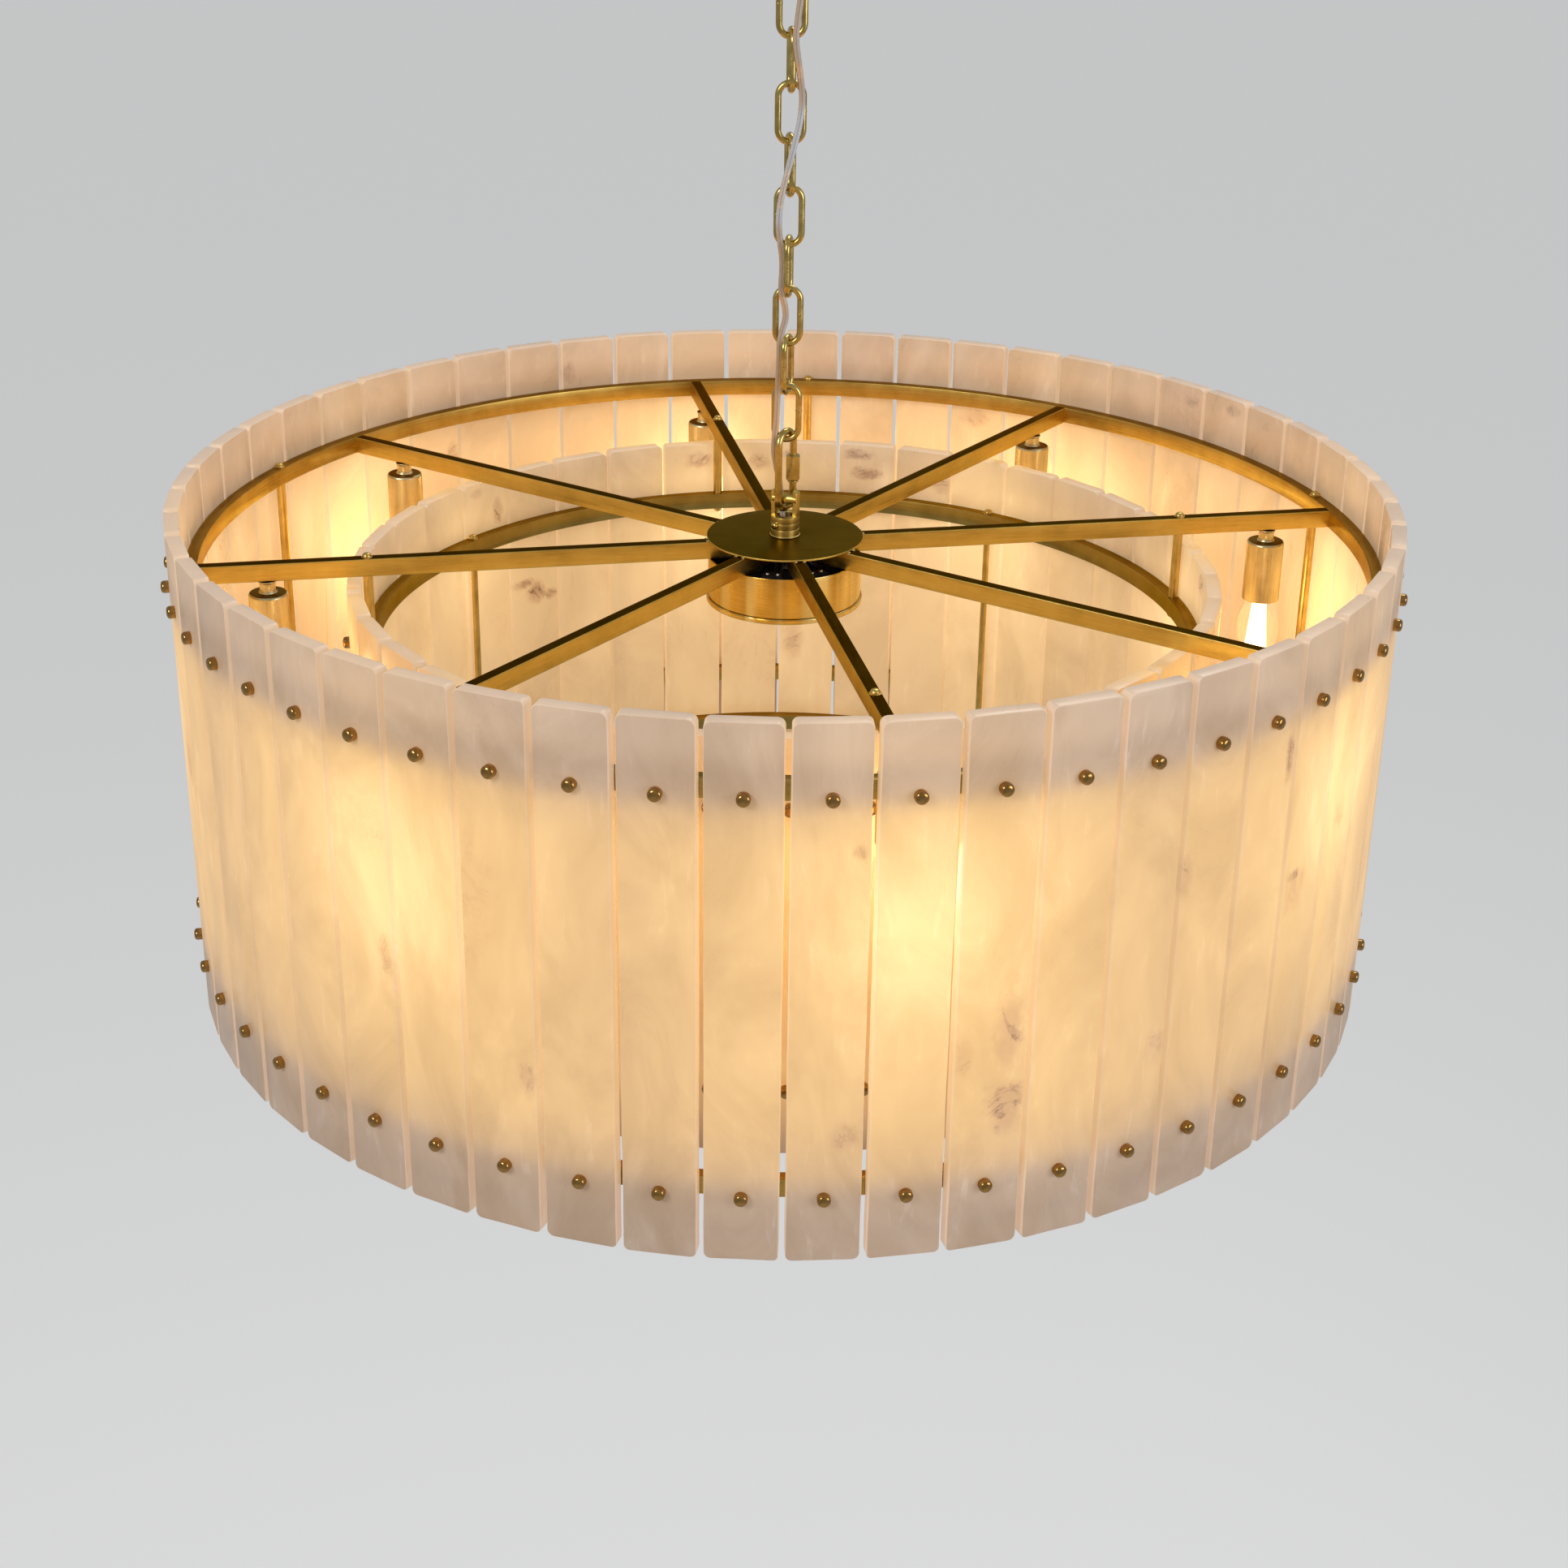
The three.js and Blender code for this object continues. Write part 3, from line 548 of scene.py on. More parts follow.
def painted_lamp_glow(nodes, x, y, z, fade, painted_ring_shadows):
    """Painted glow of a slat at a point, from the nearest lamp and from all of them together."""
    angle = nodes.math("ARCTAN2", x, nodes.times(y, -1.0))
    step = math.radians(SPOKE_AZIMUTHS[1] - SPOKE_AZIMUTHS[0])
    from_first = nodes.less(angle, math.radians(SPOKE_AZIMUTHS[0]))
    off = nodes.math("WRAP", from_first, step / 2, -step / 2)
    square = nodes.plus(nodes.times(x, x), nodes.times(y, y))
    lamp = LAMP_RADIUS * MM
    cross = nodes.times(nodes.times(nodes.math("SQRT", square), 2 * lamp), nodes.math("COSINE", off))
    rise = nodes.less(z, GLOW_Z * MM)
    level_part = nodes.less(nodes.plus(square, lamp * lamp), cross)
    distance = nodes.plus(level_part, nodes.times(nodes.times(rise, rise), 0.62))
    core = nodes.math("POWER", nodes.math("DIVIDE", GLOW_REACH ** 2, distance), 1.25)
    lower = nodes.ramp(z, fade["foot"] * MM, fade["full"] * MM, 0.06, 1.0)
    upper = nodes.ramp(z, (fade["top"] - 90) * MM, fade["top"] * MM, 1.0, fade["share"])
    level = nodes.plus(nodes.times(core, CORE_SHARE), nodes.times(nodes.times(lower, upper), EVEN_SHARE))
    # Painted shadow of a ring: the glow is cut down between its low and high ends.
    for low, high, depth in painted_ring_shadows:
        above = nodes.ramp(z, (low - 14) * MM, (low + 10) * MM)
        below = nodes.ramp(z, (high - 10) * MM, (high + 16) * MM, 1.0, 0.0)
        level = nodes.times(level, nodes.less(1.0, nodes.times(nodes.times(above, below), depth)))
    return level


def stone(name, fade, painted_ring_shadows, strength):
    """Alabaster with the lamps' glow through it painted in as emission. fade holds the heights between which
    the even glow rises and falls, and its share at the top. The list after it holds each ring's painted
    shadow: its low and high ends, and how deep it is."""
    nodes = Nodes(name)
    local = nodes.local()
    x, y, z = nodes.place("Object")
    z = nodes.less(z, FRAME * MM)
    normal_x, normal_y, normal_z = nodes.place("Normal")
    outwards = nodes.times_plus(normal_x, x, nodes.times(normal_y, y))
    inside = nodes.ramp(outwards, -0.2, 0.0, 1.0, 0.0)
    top_face = nodes.ramp(normal_z, 0.7, 0.95)
    wall = nodes.times(nodes.attribute("rim"), nodes.less(1.0, top_face))

    cloud = nodes.noise(nodes.stretched(local, (1, 1, 0.6)), 11.0, 6, 0.62, distortion=0.8)
    slant = (math.radians(28), 0, 0)
    fibre = nodes.noise(nodes.stretched(local, (110, 110, 24), slant), 1.0, roughness=0.6, distortion=0.5)
    flake = nodes.times(nodes.ramp(fibre, 0.56, 0.74), nodes.ramp(cloud, 0.4, 0.62))
    patch, shade = veins(nodes, local)
    body = nodes.mix(nodes.ramp(cloud, 0.34, 0.7), STONE_DEEP, STONE_PALE)
    body = nodes.mix(nodes.times(flake, 0.4), body, STONE_FLAKE)
    body = nodes.mix(nodes.times(patch, 0.42), body, STONE_PATCH)
    body = nodes.mix(shade, body, STONE_VEIN)
    # Painted light: the faces that look up are made paler.
    body = nodes.mix(nodes.times(top_face, 0.6), body, STONE_TOP_FACE_PAINTED_LIGHT)
    # Painted light: the stone is made paler towards its top end.
    painted_top_light = nodes.ramp(z, (fade["top"] - 26) * MM, fade["top"] * MM, 0.0, 0.3)
    body = nodes.mix(painted_top_light, body, STONE_TOP_END_PAINTED_LIGHT)

    # Painted glow: emission stands in for the lamps' light shining through the stone, with the rings'
    # shadows painted into it.
    level = painted_lamp_glow(nodes, x, y, z, fade, painted_ring_shadows)
    blocked = nodes.times_plus(patch, 0.36, nodes.times(shade, 0.6), clamp=True)
    tone = nodes.ramp(nodes.noise(local, 1.3, 1), 0.36, 0.64, 0.93, 1.07)
    streaky = nodes.times_plus(flake, 0.08, nodes.ramp(cloud, 0.3, 0.72, 0.84, 1.12))
    passed = nodes.times(nodes.times(streaky, tone), nodes.less(1.0, blocked))
    # Painted light on the slats' sides, stronger where a ring's painted shadow falls.
    wall_glow = nodes.ramp(level, 0.1, 0.4, BAND_WALL_GLOW, WALL_GLOW)
    level = nodes.times(level, nodes.times(passed, nodes.ramp(wall, 0.0, 1.0, 1.0, 0.8)))
    level = nodes.plus(level, nodes.times(wall, wall_glow))

    bright = nodes.ramp(level, 0.25, 0.5)
    warm = nodes.mix(nodes.ramp(level, 0.25, 0.9), GLOW_DIM, GLOW_BRIGHT)
    warm = nodes.mix(nodes.times(inside, nodes.ramp(level, 0.6, 1.2, 0.6, 0.1)), warm, GLOW_INSIDE)
    warm = nodes.mix(nodes.times_plus(patch, 0.3, shade, clamp=True), warm, GLOW_VEIN)
    wall_tint = nodes.mix(bright, GLOW_BAND_WALL, GLOW_WALL)
    warm = nodes.mix(nodes.times(wall, nodes.ramp(bright, 0.0, 1.0, 0.9, 0.6)), warm, wall_tint)
    # Painted shade: the slats' sides, in the gaps between them, get a darker colour.
    body = nodes.mix(nodes.times(wall, nodes.ramp(bright, 0.0, 1.0, 0.1, 0.6)), body, STONE_WALL_PAINTED_SHADE)
    # Painted light: where the glow is strong the base colour turns to the orange of lit stone.
    lit = nodes.mix(nodes.math("MAXIMUM", shade, wall), STONE_LIT, body)
    nodes.set(
        Base_Color=nodes.mix(nodes.ramp(level, 0.08, 0.6, 0.0, 0.65), body, lit),
        Roughness=nodes.ramp(cloud, 0.3, 0.7, 0.26, 0.42),
        Emission_Color=warm,
        Emission_Strength=nodes.times(level, strength),
    )
    nodes.bump(nodes.noise(local, 260.0, 5, 0.6), distance=0.0002, strength=0.2)
    return nodes.material


def glass():
    nodes = Nodes("bulb_glass")
    facing = nodes.put("LayerWeight", {"Blend": 0.35}).outputs["Facing"]
    nodes.set(
        Base_Color=rgb(1.0, 0.94, 0.82), Roughness=0.03, IOR=1.35, Transmission_Weight=1.0, Alpha=0.35,
        Emission_Color=rgb(1.0, 0.74, 0.32), Emission_Strength=nodes.ramp(facing, 0.0, 0.9, 0.34, 0.06),
    )
    return nodes.material


def glow():
    nodes = Nodes("lamp_filament")
    ripple = nodes.noise(nodes.stretched(nodes.local(), (200, 200, 1400)), 1.0, 1)
    nodes.set(
        Base_Color=rgb(0.9, 0.7, 0.3), Emission_Color=rgb(1.0, 0.82, 0.46),
        Emission_Strength=nodes.ramp(ripple, 0.3, 0.7, 9.0, 12.0),
    )
    return nodes.material


def clear_cord():
    """Twin cord in a clear sleeve: a tinned conductor on one side and a copper one on the other."""
    nodes = Nodes("clear_twin_cord")
    across = nodes.attribute("across")
    height = nodes.place("Object")[2]
    strands = nodes.noise(nodes.stretched(nodes.local(), (2600, 2600, 260)), 1.0)
    tinned = nodes.mix(strands, rgb(0.44, 0.47, 0.52), rgb(0.84, 0.91, 1.0))
    copper = nodes.mix(strands, rgb(0.44, 0.30, 0.19), rgb(0.76, 0.58, 0.42))
    above, below = nodes.ramp(height, -0.262, -0.248), nodes.ramp(height, -0.172, -0.158, 1.0, 0.0)
    tin_in_front = nodes.times_plus(nodes.times(above, below), 0.7, 0.15)
    side = nodes.ramp(across, -0.3, 0.3, -0.16, 0.16)
    colour = nodes.mix(nodes.math("ADD", tin_in_front, side, clamp=True), copper, tinned)
    # Painted shade: the groove between the two lobes is darkened.
    painted_groove_shade = nodes.ramp(nodes.math("ABSOLUTE", across), 0.0, 0.28, 1.0, 0.0)
    colour = nodes.mix(nodes.times(painted_groove_shade, 0.55), colour, rgb(0.20, 0.16, 0.12))
    nodes.set(Base_Color=colour, Roughness=0.22, Coat_Weight=0.8, Coat_Roughness=0.06, Metallic=0.35)
    return nodes.material


GOLD, GOLD_DARK = rgb(0.72, 0.51, 0.13), rgb(0.58, 0.41, 0.10)
# The top colours in these materials are painted dark reflections on the faces that look up.
RING_GRAIN, RING_TOP_PAINTED_DARK = (14, 14, 1500), rgb(0.24, 0.15, 0.04)
bar_brass = brushed("bar_brass", GOLD, GOLD_DARK, top=rgb(0.045, 0.026, 0.006), edge=(0.6, 0.48, 0.3))
ring_brass = brushed(
    "ring_brass", rgb(0.58, 0.42, 0.12), rgb(0.42, 0.29, 0.07), RING_GRAIN,
    top=RING_TOP_PAINTED_DARK, edge=(0.75, 0.6, 0.4), stretch=0.0)
# A darker copy of ring_brass for the inner rings: painted shade.
shaded_inner_ring_brass = brushed(
    "shaded_inner_ring_brass", rgb(0.38, 0.28, 0.075), rgb(0.27, 0.19, 0.045), RING_GRAIN,
    top=RING_TOP_PAINTED_DARK, edge=(0.6, 0.5, 0.3), stretch=0.0)
turned_brass = brushed("turned_brass", rgb(0.70, 0.53, 0.17), rgb(0.52, 0.38, 0.10), AROUND_Z, stretch=0.4)
# Its sheen is a painted highlight: paler upright bands in the colour.
spun_brass = brushed(
    "spun_brass", rgb(0.78, 0.50, 0.11), rgb(0.60, 0.36, 0.06), AROUND_Z, (0.18, 0.3),
    stretch=0.8, sheen=rgb(0.86, 0.70, 0.30))
sleeve_brass = brushed(
    "sleeve_brass", rgb(0.72, 0.61, 0.35), rgb(0.54, 0.45, 0.22), ALONG_Z,
    top=rgb(0.11, 0.065, 0.02), edge=(0.8, 0.66, 0.42))
post_brass = brushed("post_brass", rgb(0.74, 0.53, 0.17), rgb(0.50, 0.34, 0.09), (700, 700, 60))
disc_brass = brushed(
    "disc_brass", GOLD, GOLD_DARK, (30, 700, 700), (0.32, 0.44),
    top=rgb(0.066, 0.04, 0.009), edge=(0.8, 0.66, 0.4))
bright_brass = polished("bright_brass", rgb(0.62, 0.47, 0.17), rgb(0.44, 0.32, 0.09), (0.19, 0.3))
screw_brass = polished("screw_brass", rgb(0.50, 0.29, 0.09), rgb(0.30, 0.16, 0.045), (0.12, 0.26))
base_metal = polished("bulb_base_metal", rgb(0.62, 0.58, 0.50), rgb(0.45, 0.42, 0.36))
steel = plain("zinc_steel", rgb(0.55, 0.55, 0.53), 0.36, metallic=1.0)
porcelain = plain("socket_insulation", rgb(0.72, 0.68, 0.60), 0.4)
wire_sleeve = plain("wire_sleeve", rgb(0.018, 0.016, 0.015), 0.36)
# Each stone's second list holds the rings' painted shadows on its slats.
outer_stone = stone(
    "outer_alabaster", {"foot": -372, "full": -240, "top": 40, "share": 0.24},
    [(-4, 22, 0.5), (-350, -308, 0.5)], strength=1.0)
inner_stone = stone(
    "inner_alabaster", {"foot": -380, "full": -300, "top": -16, "share": 0.5},
    [(-80, -62, 0.35)], strength=0.92)
bulb_glass = glass()
filament = glow()
twin_cord = clear_cord()


# Ceiling end

DISH_PROFILE = [
    (5.4, -30), (54, -30), (62, -26.6), (65, -19), (65, -0.3), (63.5, -0.3),
    (63.5, -19.5), (61, -25.6), (53.6, -28.5), (5.4, -28.5),
]
STEM_PROFILE = [
    (0, -41.6), (7, -41.6), (10, -37.6), (10, -32.6), (8.6, -32), (10, -31.4), (10, -30.3),
    (5, -30.3), (5, -3.3), (0, -3.3),
]
EYE_Z, EYE_RADIUS, EYE_WIRE = -55.1, 16, 2.5

Form().add(turning(DISH_PROFILE, 1.2, 128, closed=True)).made(
    "canopy_dish", spun_brass, "antique_brass", "ceiling", ["ceiling_canopy"])
eye_line = [(0, y, z) for y, z in circle(EYE_RADIUS, 64)]
eye = sweep(eye_line, circle(EYE_WIRE, 20), closed=True, side=(1, 0, 0))
Form().add(turning(STEM_PROFILE, 0.7, 64)).add(eye, Matrix.Translation((0, 0, EYE_Z))).made(
    "canopy_eye", turned_brass, "antique_brass", "ceiling", ["canopy_loop"])

# The strap stays as it is in the CAD and gets a material.
strap = bpy.data.objects["canopy_strap"]
strap.data.materials.clear()
strap.data.materials.append(steel)


# Chain

WELD_PROFILE = [
    (LINK_WIRE - 0.3, -0.9), (LINK_WIRE + 0.16, -0.7), (LINK_WIRE + 0.16, 0.7), (LINK_WIRE - 0.3, 0.9)]
WELD_UP = 1.5  # from the middle of a link
NUT_SEAT_PROFILE = [(QUICK_WIRE, -2.1), (4.5, -1.9), (4.5, -0.4), (QUICK_WIRE, -0.3)]
NUT_TRIM, NUT_FALL, NUT_RISE = 0.35, 0.9, 0.15  # how the corners of its ends are turned down
NUT_LIP, NUT_CHAMFER = 0.2, 0.4  # at the mouths of its bore

link_wire = sweep(oval(LINK_BOW, LINK_LEG), circle(LINK_WIRE, 20), closed=True)
link_weld = lathe(soften(WELD_PROFILE, 0.3), 20, closed=True)
for i, azimuth in enumerate(LINK_AZIMUTHS):
    height = FIRST_LINK - i * LINK_PITCH
    link = Form().add(link_wire, turned(azimuth, 0, height))
    link.add(link_weld, turned(azimuth, LINK_SEAMS[i] * LINK_BOW, height + WELD_UP))
    link.made(f"oval_link_{i + 1}", bright_brass, "polished_brass", f"link_{i + 1}", [f"chain_link_{i + 1}"])

quick_place = turned(QUICK_AZIMUTH, 0, QUICK_Z)
nut_place = quick_place @ Matrix.Translation((QUICK_BOW, 0, NUT_FOOT))
quick_line = oval(QUICK_BOW, QUICK_LEG, ends=(GAP_FOOT + GAP, GAP_FOOT))
quick = Form().add(sweep(quick_line, circle(QUICK_WIRE, 20)), quick_place)
quick.add(lathe(soften(NUT_SEAT_PROFILE, 0.5), 32, closed=True), nut_place)
quick.made("quick_link_wire", bright_brass, "polished_brass", "quick", ["quick_link"])


def hexagon_nut(length, across, bore, sides=48):
    """A long hexagonal nut with turned ends."""
    angles = [2 * math.pi * i / sides for i in range(sides)]
    reach = [across / 2 / math.cos((a + math.pi / 6) % (math.pi / 3) - math.pi / 6) for a in angles]
    trim = across / 2 - NUT_TRIM
    slope = [NUT_FALL * (r - trim) + NUT_RISE for r in reach]

    def ring(radii, heights):
        return [(r * math.cos(a), r * math.sin(a), z) for r, a, z in zip(radii, angles, heights)]

    def even(radius, z):
        return ring([radius] * sides, [z] * sides)

    return loft([
        even(bore, NUT_LIP), even(bore + NUT_CHAMFER, 0), even(trim, 0),
        ring(reach, slope), ring(reach, [length - z for z in slope]),
        even(trim, length), even(bore + NUT_CHAMFER, length), even(bore, length - NUT_LIP),
    ], closed=True)


Form().add(hexagon_nut(NUT_LENGTH, NUT_ACROSS, QUICK_WIRE + SEAT), nut_place).made(
    "quick_link_hexagon", bright_brass, "polished_brass", "quick_nut", ["quick_link_nut"], sharp=20)


# Hub

YOKE_PROFILE = [
    (7, 1.5), (13, 1.5), (13, 7.5), (9, 7.5), (9, 9.6), (12.8, 9.6), (12.8, 10.2), (12, 10.4),
    (12, 15.4), (11.5, 15.7), (11.5, 16.1), (12, 16.4), (12, 21.2), (11.8, 21.4), (12, 21.6),
    (12, 26.6), (11.6, 27), (7, 27),
]
CHEEK_PROFILE = [(7.5, 26.5), (12, 26.5), (12, 46.6), (9.6, 49), (7.5, 49)]
CHEEK_WIDTH, CHEEK_STEPS, CHEEK_MIDDLE, CHEEK_EASE = 8, 12, 9, 0.5
CROSS_PIN_PROFILE = [(0, -10.8), (4.5, -10.8), (4.5, 10.8), (0, 10.8)]
SET_SCREW_AZIMUTH, SET_SCREW_Z = -44, 19.5
SET_SCREW_PROFILE = [(0, 2.9), (1.9, 2.6), (3.1, 1.6), (3.2, -0.9), (0, -0.9)]
SET_SCREW_SLOT, SLOT_OUT, SLOT_TURN = (0.5, 4.2, 0.8, 0.2), 2.75, 0.5
DISC_PROFILE = [(9.3, HUB_FOOT), (HUB_RADIUS, HUB_FOOT), (HUB_RADIUS, HUB_TOP), (9.3, HUB_TOP)]
BOWL_PROFILE = [
    (57, CUP_FOOT), (CUP_RADIUS, CUP_FOOT), (CUP_RADIUS, CUP_TOP),
    (63, CUP_TOP), (63, CUP_FOOT + 1.5), (57, CUP_FOOT + 1.5),
]
FLANGE_PROFILE = [
    (0, COVER_FOOT), (COVER_RADIUS, COVER_FOOT), (COVER_RADIUS, CUP_FOOT - SEAT), (0, CUP_FOOT - SEAT)]
# A black lining inside the bowl: a dark sheet that paints the shade there.
SHADE_LINING_PROFILE = [
    (0, CUP_FOOT + 1.8), (62, CUP_FOOT + 1.8), (62, CUP_TOP - 0.6),
    (62.6, CUP_TOP - 0.6), (62.6, CUP_FOOT + 1.6), (0, CUP_FOOT + 1.6),
]

yoke = Form().add(turning(YOKE_PROFILE, 0.3, 72, closed=True), IN_FITTING)
cheek_outline = soften(CHEEK_PROFILE, 0.5, closed=True)
for side in (-1, 1):
    loops = []
    for k in range(CHEEK_STEPS + 1):
        # The cheek is a slice of the round collar, so its outer face is curved.
        y = CHEEK_WIDTH * (k / CHEEK_STEPS - 0.5)
        bulge = math.sqrt(YOKE_RADIUS ** 2 - y * y) - YOKE_RADIUS
        inset = CHEEK_EASE if k in (0, CHEEK_STEPS) else 0
        loops.append([(side * (x + (bulge - inset if x > CHEEK_MIDDLE else inset)), y, z)
                      for x, z in cheek_outline])
    yoke.add(loft(loops), turned(FORK_AZIMUTH, 0, FRAME))
yoke.add(turning(CROSS_PIN_PROFILE, 0.5, 32), turned(FORK_AZIMUTH, 0, FRAME + CROSS_PIN_Z) @ ONTO_X)
yoke.made("yoke_fork", turned_brass, *BRASS, ["hanger_yoke"])

screw_place = turned(SET_SCREW_AZIMUTH, YOKE_RADIUS, FRAME + SET_SCREW_Z)
slot_place = screw_place @ Matrix.Translation((SLOT_OUT, 0, 0)) @ Matrix.Rotation(SLOT_TURN, 4, "X")
set_screw = Form().add(turning(SET_SCREW_PROFILE, 0.5, 24), screw_place @ ONTO_X)
set_screw.add(block(*SET_SCREW_SLOT), slot_place)
set_screw.made("yoke_set_screw", bright_brass, *BRASS)

Form().add(turning(DISC_PROFILE, 0.5, 144, closed=True), IN_FITTING).made(
    "hub_disc", disc_brass, "dark_brass", "fixture", ["hub_plate"])
Form().add(turning(BOWL_PROFILE, 0.5, 144, closed=True), IN_FITTING).made(
    "wiring_bowl", spun_brass, *BRASS, ["wiring_cup"])
Form().add(turning(FLANGE_PROFILE, 1.2, 144), IN_FITTING).made(
    "wiring_flange", spun_brass, *BRASS, ["wiring_cover"])
# Painted shade: a black sheet lines the bowl's hollow.
Form().add(lathe(SHADE_LINING_PROFILE, 96), IN_FITTING).made(
    "wiring_shade_lining", wire_sleeve, *BRASS)

# Each spoke has two leads, and a terminal block stands between it and the next spoke.
LEAD_ROUTE = [(31, 1, -1), (24, 2, -4), (20, 5, -11), (27, 9, -17), (38, 11, -18), (46, 12, -15)]
LEAD_RADIUS = 1.3
CLAMP_SIZE, CLAMP_RADIUS, CLAMP_Z, CLAMP_TURN = (9, 17, 8, 1.2), 48, -13.5, 22.5
CLAMP_SCREW_PROFILE, CLAMP_SCREW_Y = [(0, 5.2), (1.4, 5), (1.9, 4.2), (1.9, 3.6), (0, 3.6)], 4.4
BEAD_PROFILE = [(0, 0.9), (0.9, 0.75), (1.5, 0.2), (1.5, -0.3), (0, -0.5)]
BEAD_X, BEAD_Y, BEAD_Z = 0.8, BAR_WIDTH / 2 - 1.6, BAR_HALF + 0.2

leads, terminals, welds = Form(), Form(), Form()
for azimuth in SPOKE_AZIMUTHS:
    clamp_place = turned(azimuth + CLAMP_TURN, CLAMP_RADIUS, FRAME + CLAMP_Z)
    for side in (-1, 1):
        path = smooth_route([(x, side * y, z) for x, y, z in LEAD_ROUTE], 4)
        leads.add(sweep(path, circle(LEAD_RADIUS, 10)), turned(azimuth, 0, FRAME))
        terminals.add(lathe(CLAMP_SCREW_PROFILE, 16),
                      clamp_place @ Matrix.Translation((0, side * CLAMP_SCREW_Y, 0)))
        for along in (-BEAD_X, BEAD_X):
            welds.add(lathe(BEAD_PROFILE, 14), turned(azimuth, HUB_RADIUS + along, FRAME + BEAD_Z)
                      @ Matrix.Translation((0, side * BEAD_Y, 0)))
    leads.add(block(*CLAMP_SIZE), clamp_place)
leads.made("wiring_leads", wire_sleeve, *BRASS)
terminals.made("wiring_terminals", steel, *BRASS)
welds.made("hub_weld_beads", bright_brass, "dark_brass", "fixture")


# Rings, spokes and rods

SEAM_WIDTH, SEAM_PROUD, SEAM_FROM_END = 0.5, 0.3, 5.5  # the line on a spoke near the outer ring
BAR_BEVEL = 0.8
CAP_PROFILE = [(4.6, 0), (4.6, 0.7), (3.9, 0.9), (3.8, 1.9), (3.1, 3.1), (1.8, 3.8), (0, 4)]


def bar_ring(radius, z):
    inner, outer = radius - BAR_WIDTH / 2, radius + BAR_WIDTH / 2
    low, high = z - BAR_HALF, z + BAR_HALF
    section = soften([(inner, low), (outer, low), (outer, high), (inner, high)], 0.7, closed=True, steps=2)
    return lathe(section, 288, closed=True)


for name, radius, z, metal, nodes in (
        ("outer_upper_hoop", OUTER_RING, 0, ring_brass, ["outer_top_ring"]),
        ("inner_upper_hoop", INNER_RING, INNER_TOP_Z, shaded_inner_ring_brass, ["inner_top_ring"]),
        ("outer_lower_hoop", OUTER_RING, OUTER_LOW_Z, ring_brass, []),
        ("inner_lower_hoop", INNER_RING, INNER_LOW_Z, shaded_inner_ring_brass, [])):
    Form().add(bar_ring(radius, FRAME + z)).made(name, metal, *BRASS, nodes)

bar = block(SPOKE_TO - SPOKE_FROM, BAR_WIDTH, BAR_HEIGHT, BAR_BEVEL)
seam = block(SEAM_WIDTH, BAR_WIDTH + SEAM_PROUD, BAR_HEIGHT + SEAM_PROUD, BAR_BEVEL)
for i, azimuth in enumerate(SPOKE_AZIMUTHS):
    grain_shift = (40 * i, 0, 0)
    spoke = Form().add(bar, turned(azimuth, (SPOKE_FROM + SPOKE_TO) / 2, FRAME), grain_shift)
    spoke.add(seam, turned(azimuth, SPOKE_TO - SEAM_FROM_END, FRAME), grain_shift)
    spoke.made(f"spoke_bar_{i + 1}", bar_brass, "dark_brass", "fixture", [f"spoke_{i + 1}"])


def rod_with_caps(low, high, radius):
    """A rod between two bars, with a washer and domed cap beyond each."""
    under, over = low - BAR_HEIGHT, high + BAR_HEIGHT
    lower_cap = [(r, under - h) for r, h in reversed(CAP_PROFILE)]
    upper_cap = [(r, over + h) for r, h in CAP_PROFILE]
    rod = [(STUD_RADIUS, under), (STUD_RADIUS, low), (radius, low)]
    rod += [(radius, high), (STUD_RADIUS, high), (STUD_RADIUS, over)]
    return lathe(lower_cap + rod + upper_cap, 28)


for piece, node, azimuths, ring, low, high, radius in (
        ("outer_post", "outer_tie_rod", OUTER_RODS, OUTER_RING, OUTER_LOW_Z, 0, ROD_RADIUS),
        ("hanger_post", "hanger_rod", HANGERS, INNER_RING, INNER_TOP_Z, 0, ROD_RADIUS),
        ("inner_post", "inner_tie_rod", INNER_RODS, INNER_RING, INNER_LOW_Z, INNER_TOP_Z, INNER_ROD_RADIUS)):
    for i, azimuth in enumerate(azimuths):
        rod = rod_with_caps(low + BAR_HALF, high - BAR_HALF, radius)
        Form().add(rod, turned(azimuth, ring, FRAME)).made(
            f"{piece}_{i + 1}", post_brass, *BRASS, [f"{node}_{i + 1}"])


# Slats

CORNER_RADII, CORNER_POINTS = (3.2, 5.6), 6
SIDE_STEP, SIDE_WOBBLE = 22, 0.22  # spacing of the points along a side, and how far they stray
EASED = ((0, 0.6), (0.2, 0.2), (0.6, 0))  # depth below a face, and inset there, of its eased edge
EASED_END = 6  # how near an end the height of a point is inset too
STONE_SPREAD = 3000  # how far apart in the stone the slats may be cut
HEAD_PROFILE = [(4.9, 0), (5.0, 0.4), (5.0, 4.0), (4.75, 5.0), (4.0, 5.9), (2.6, 6.4), (0, 6.6)]


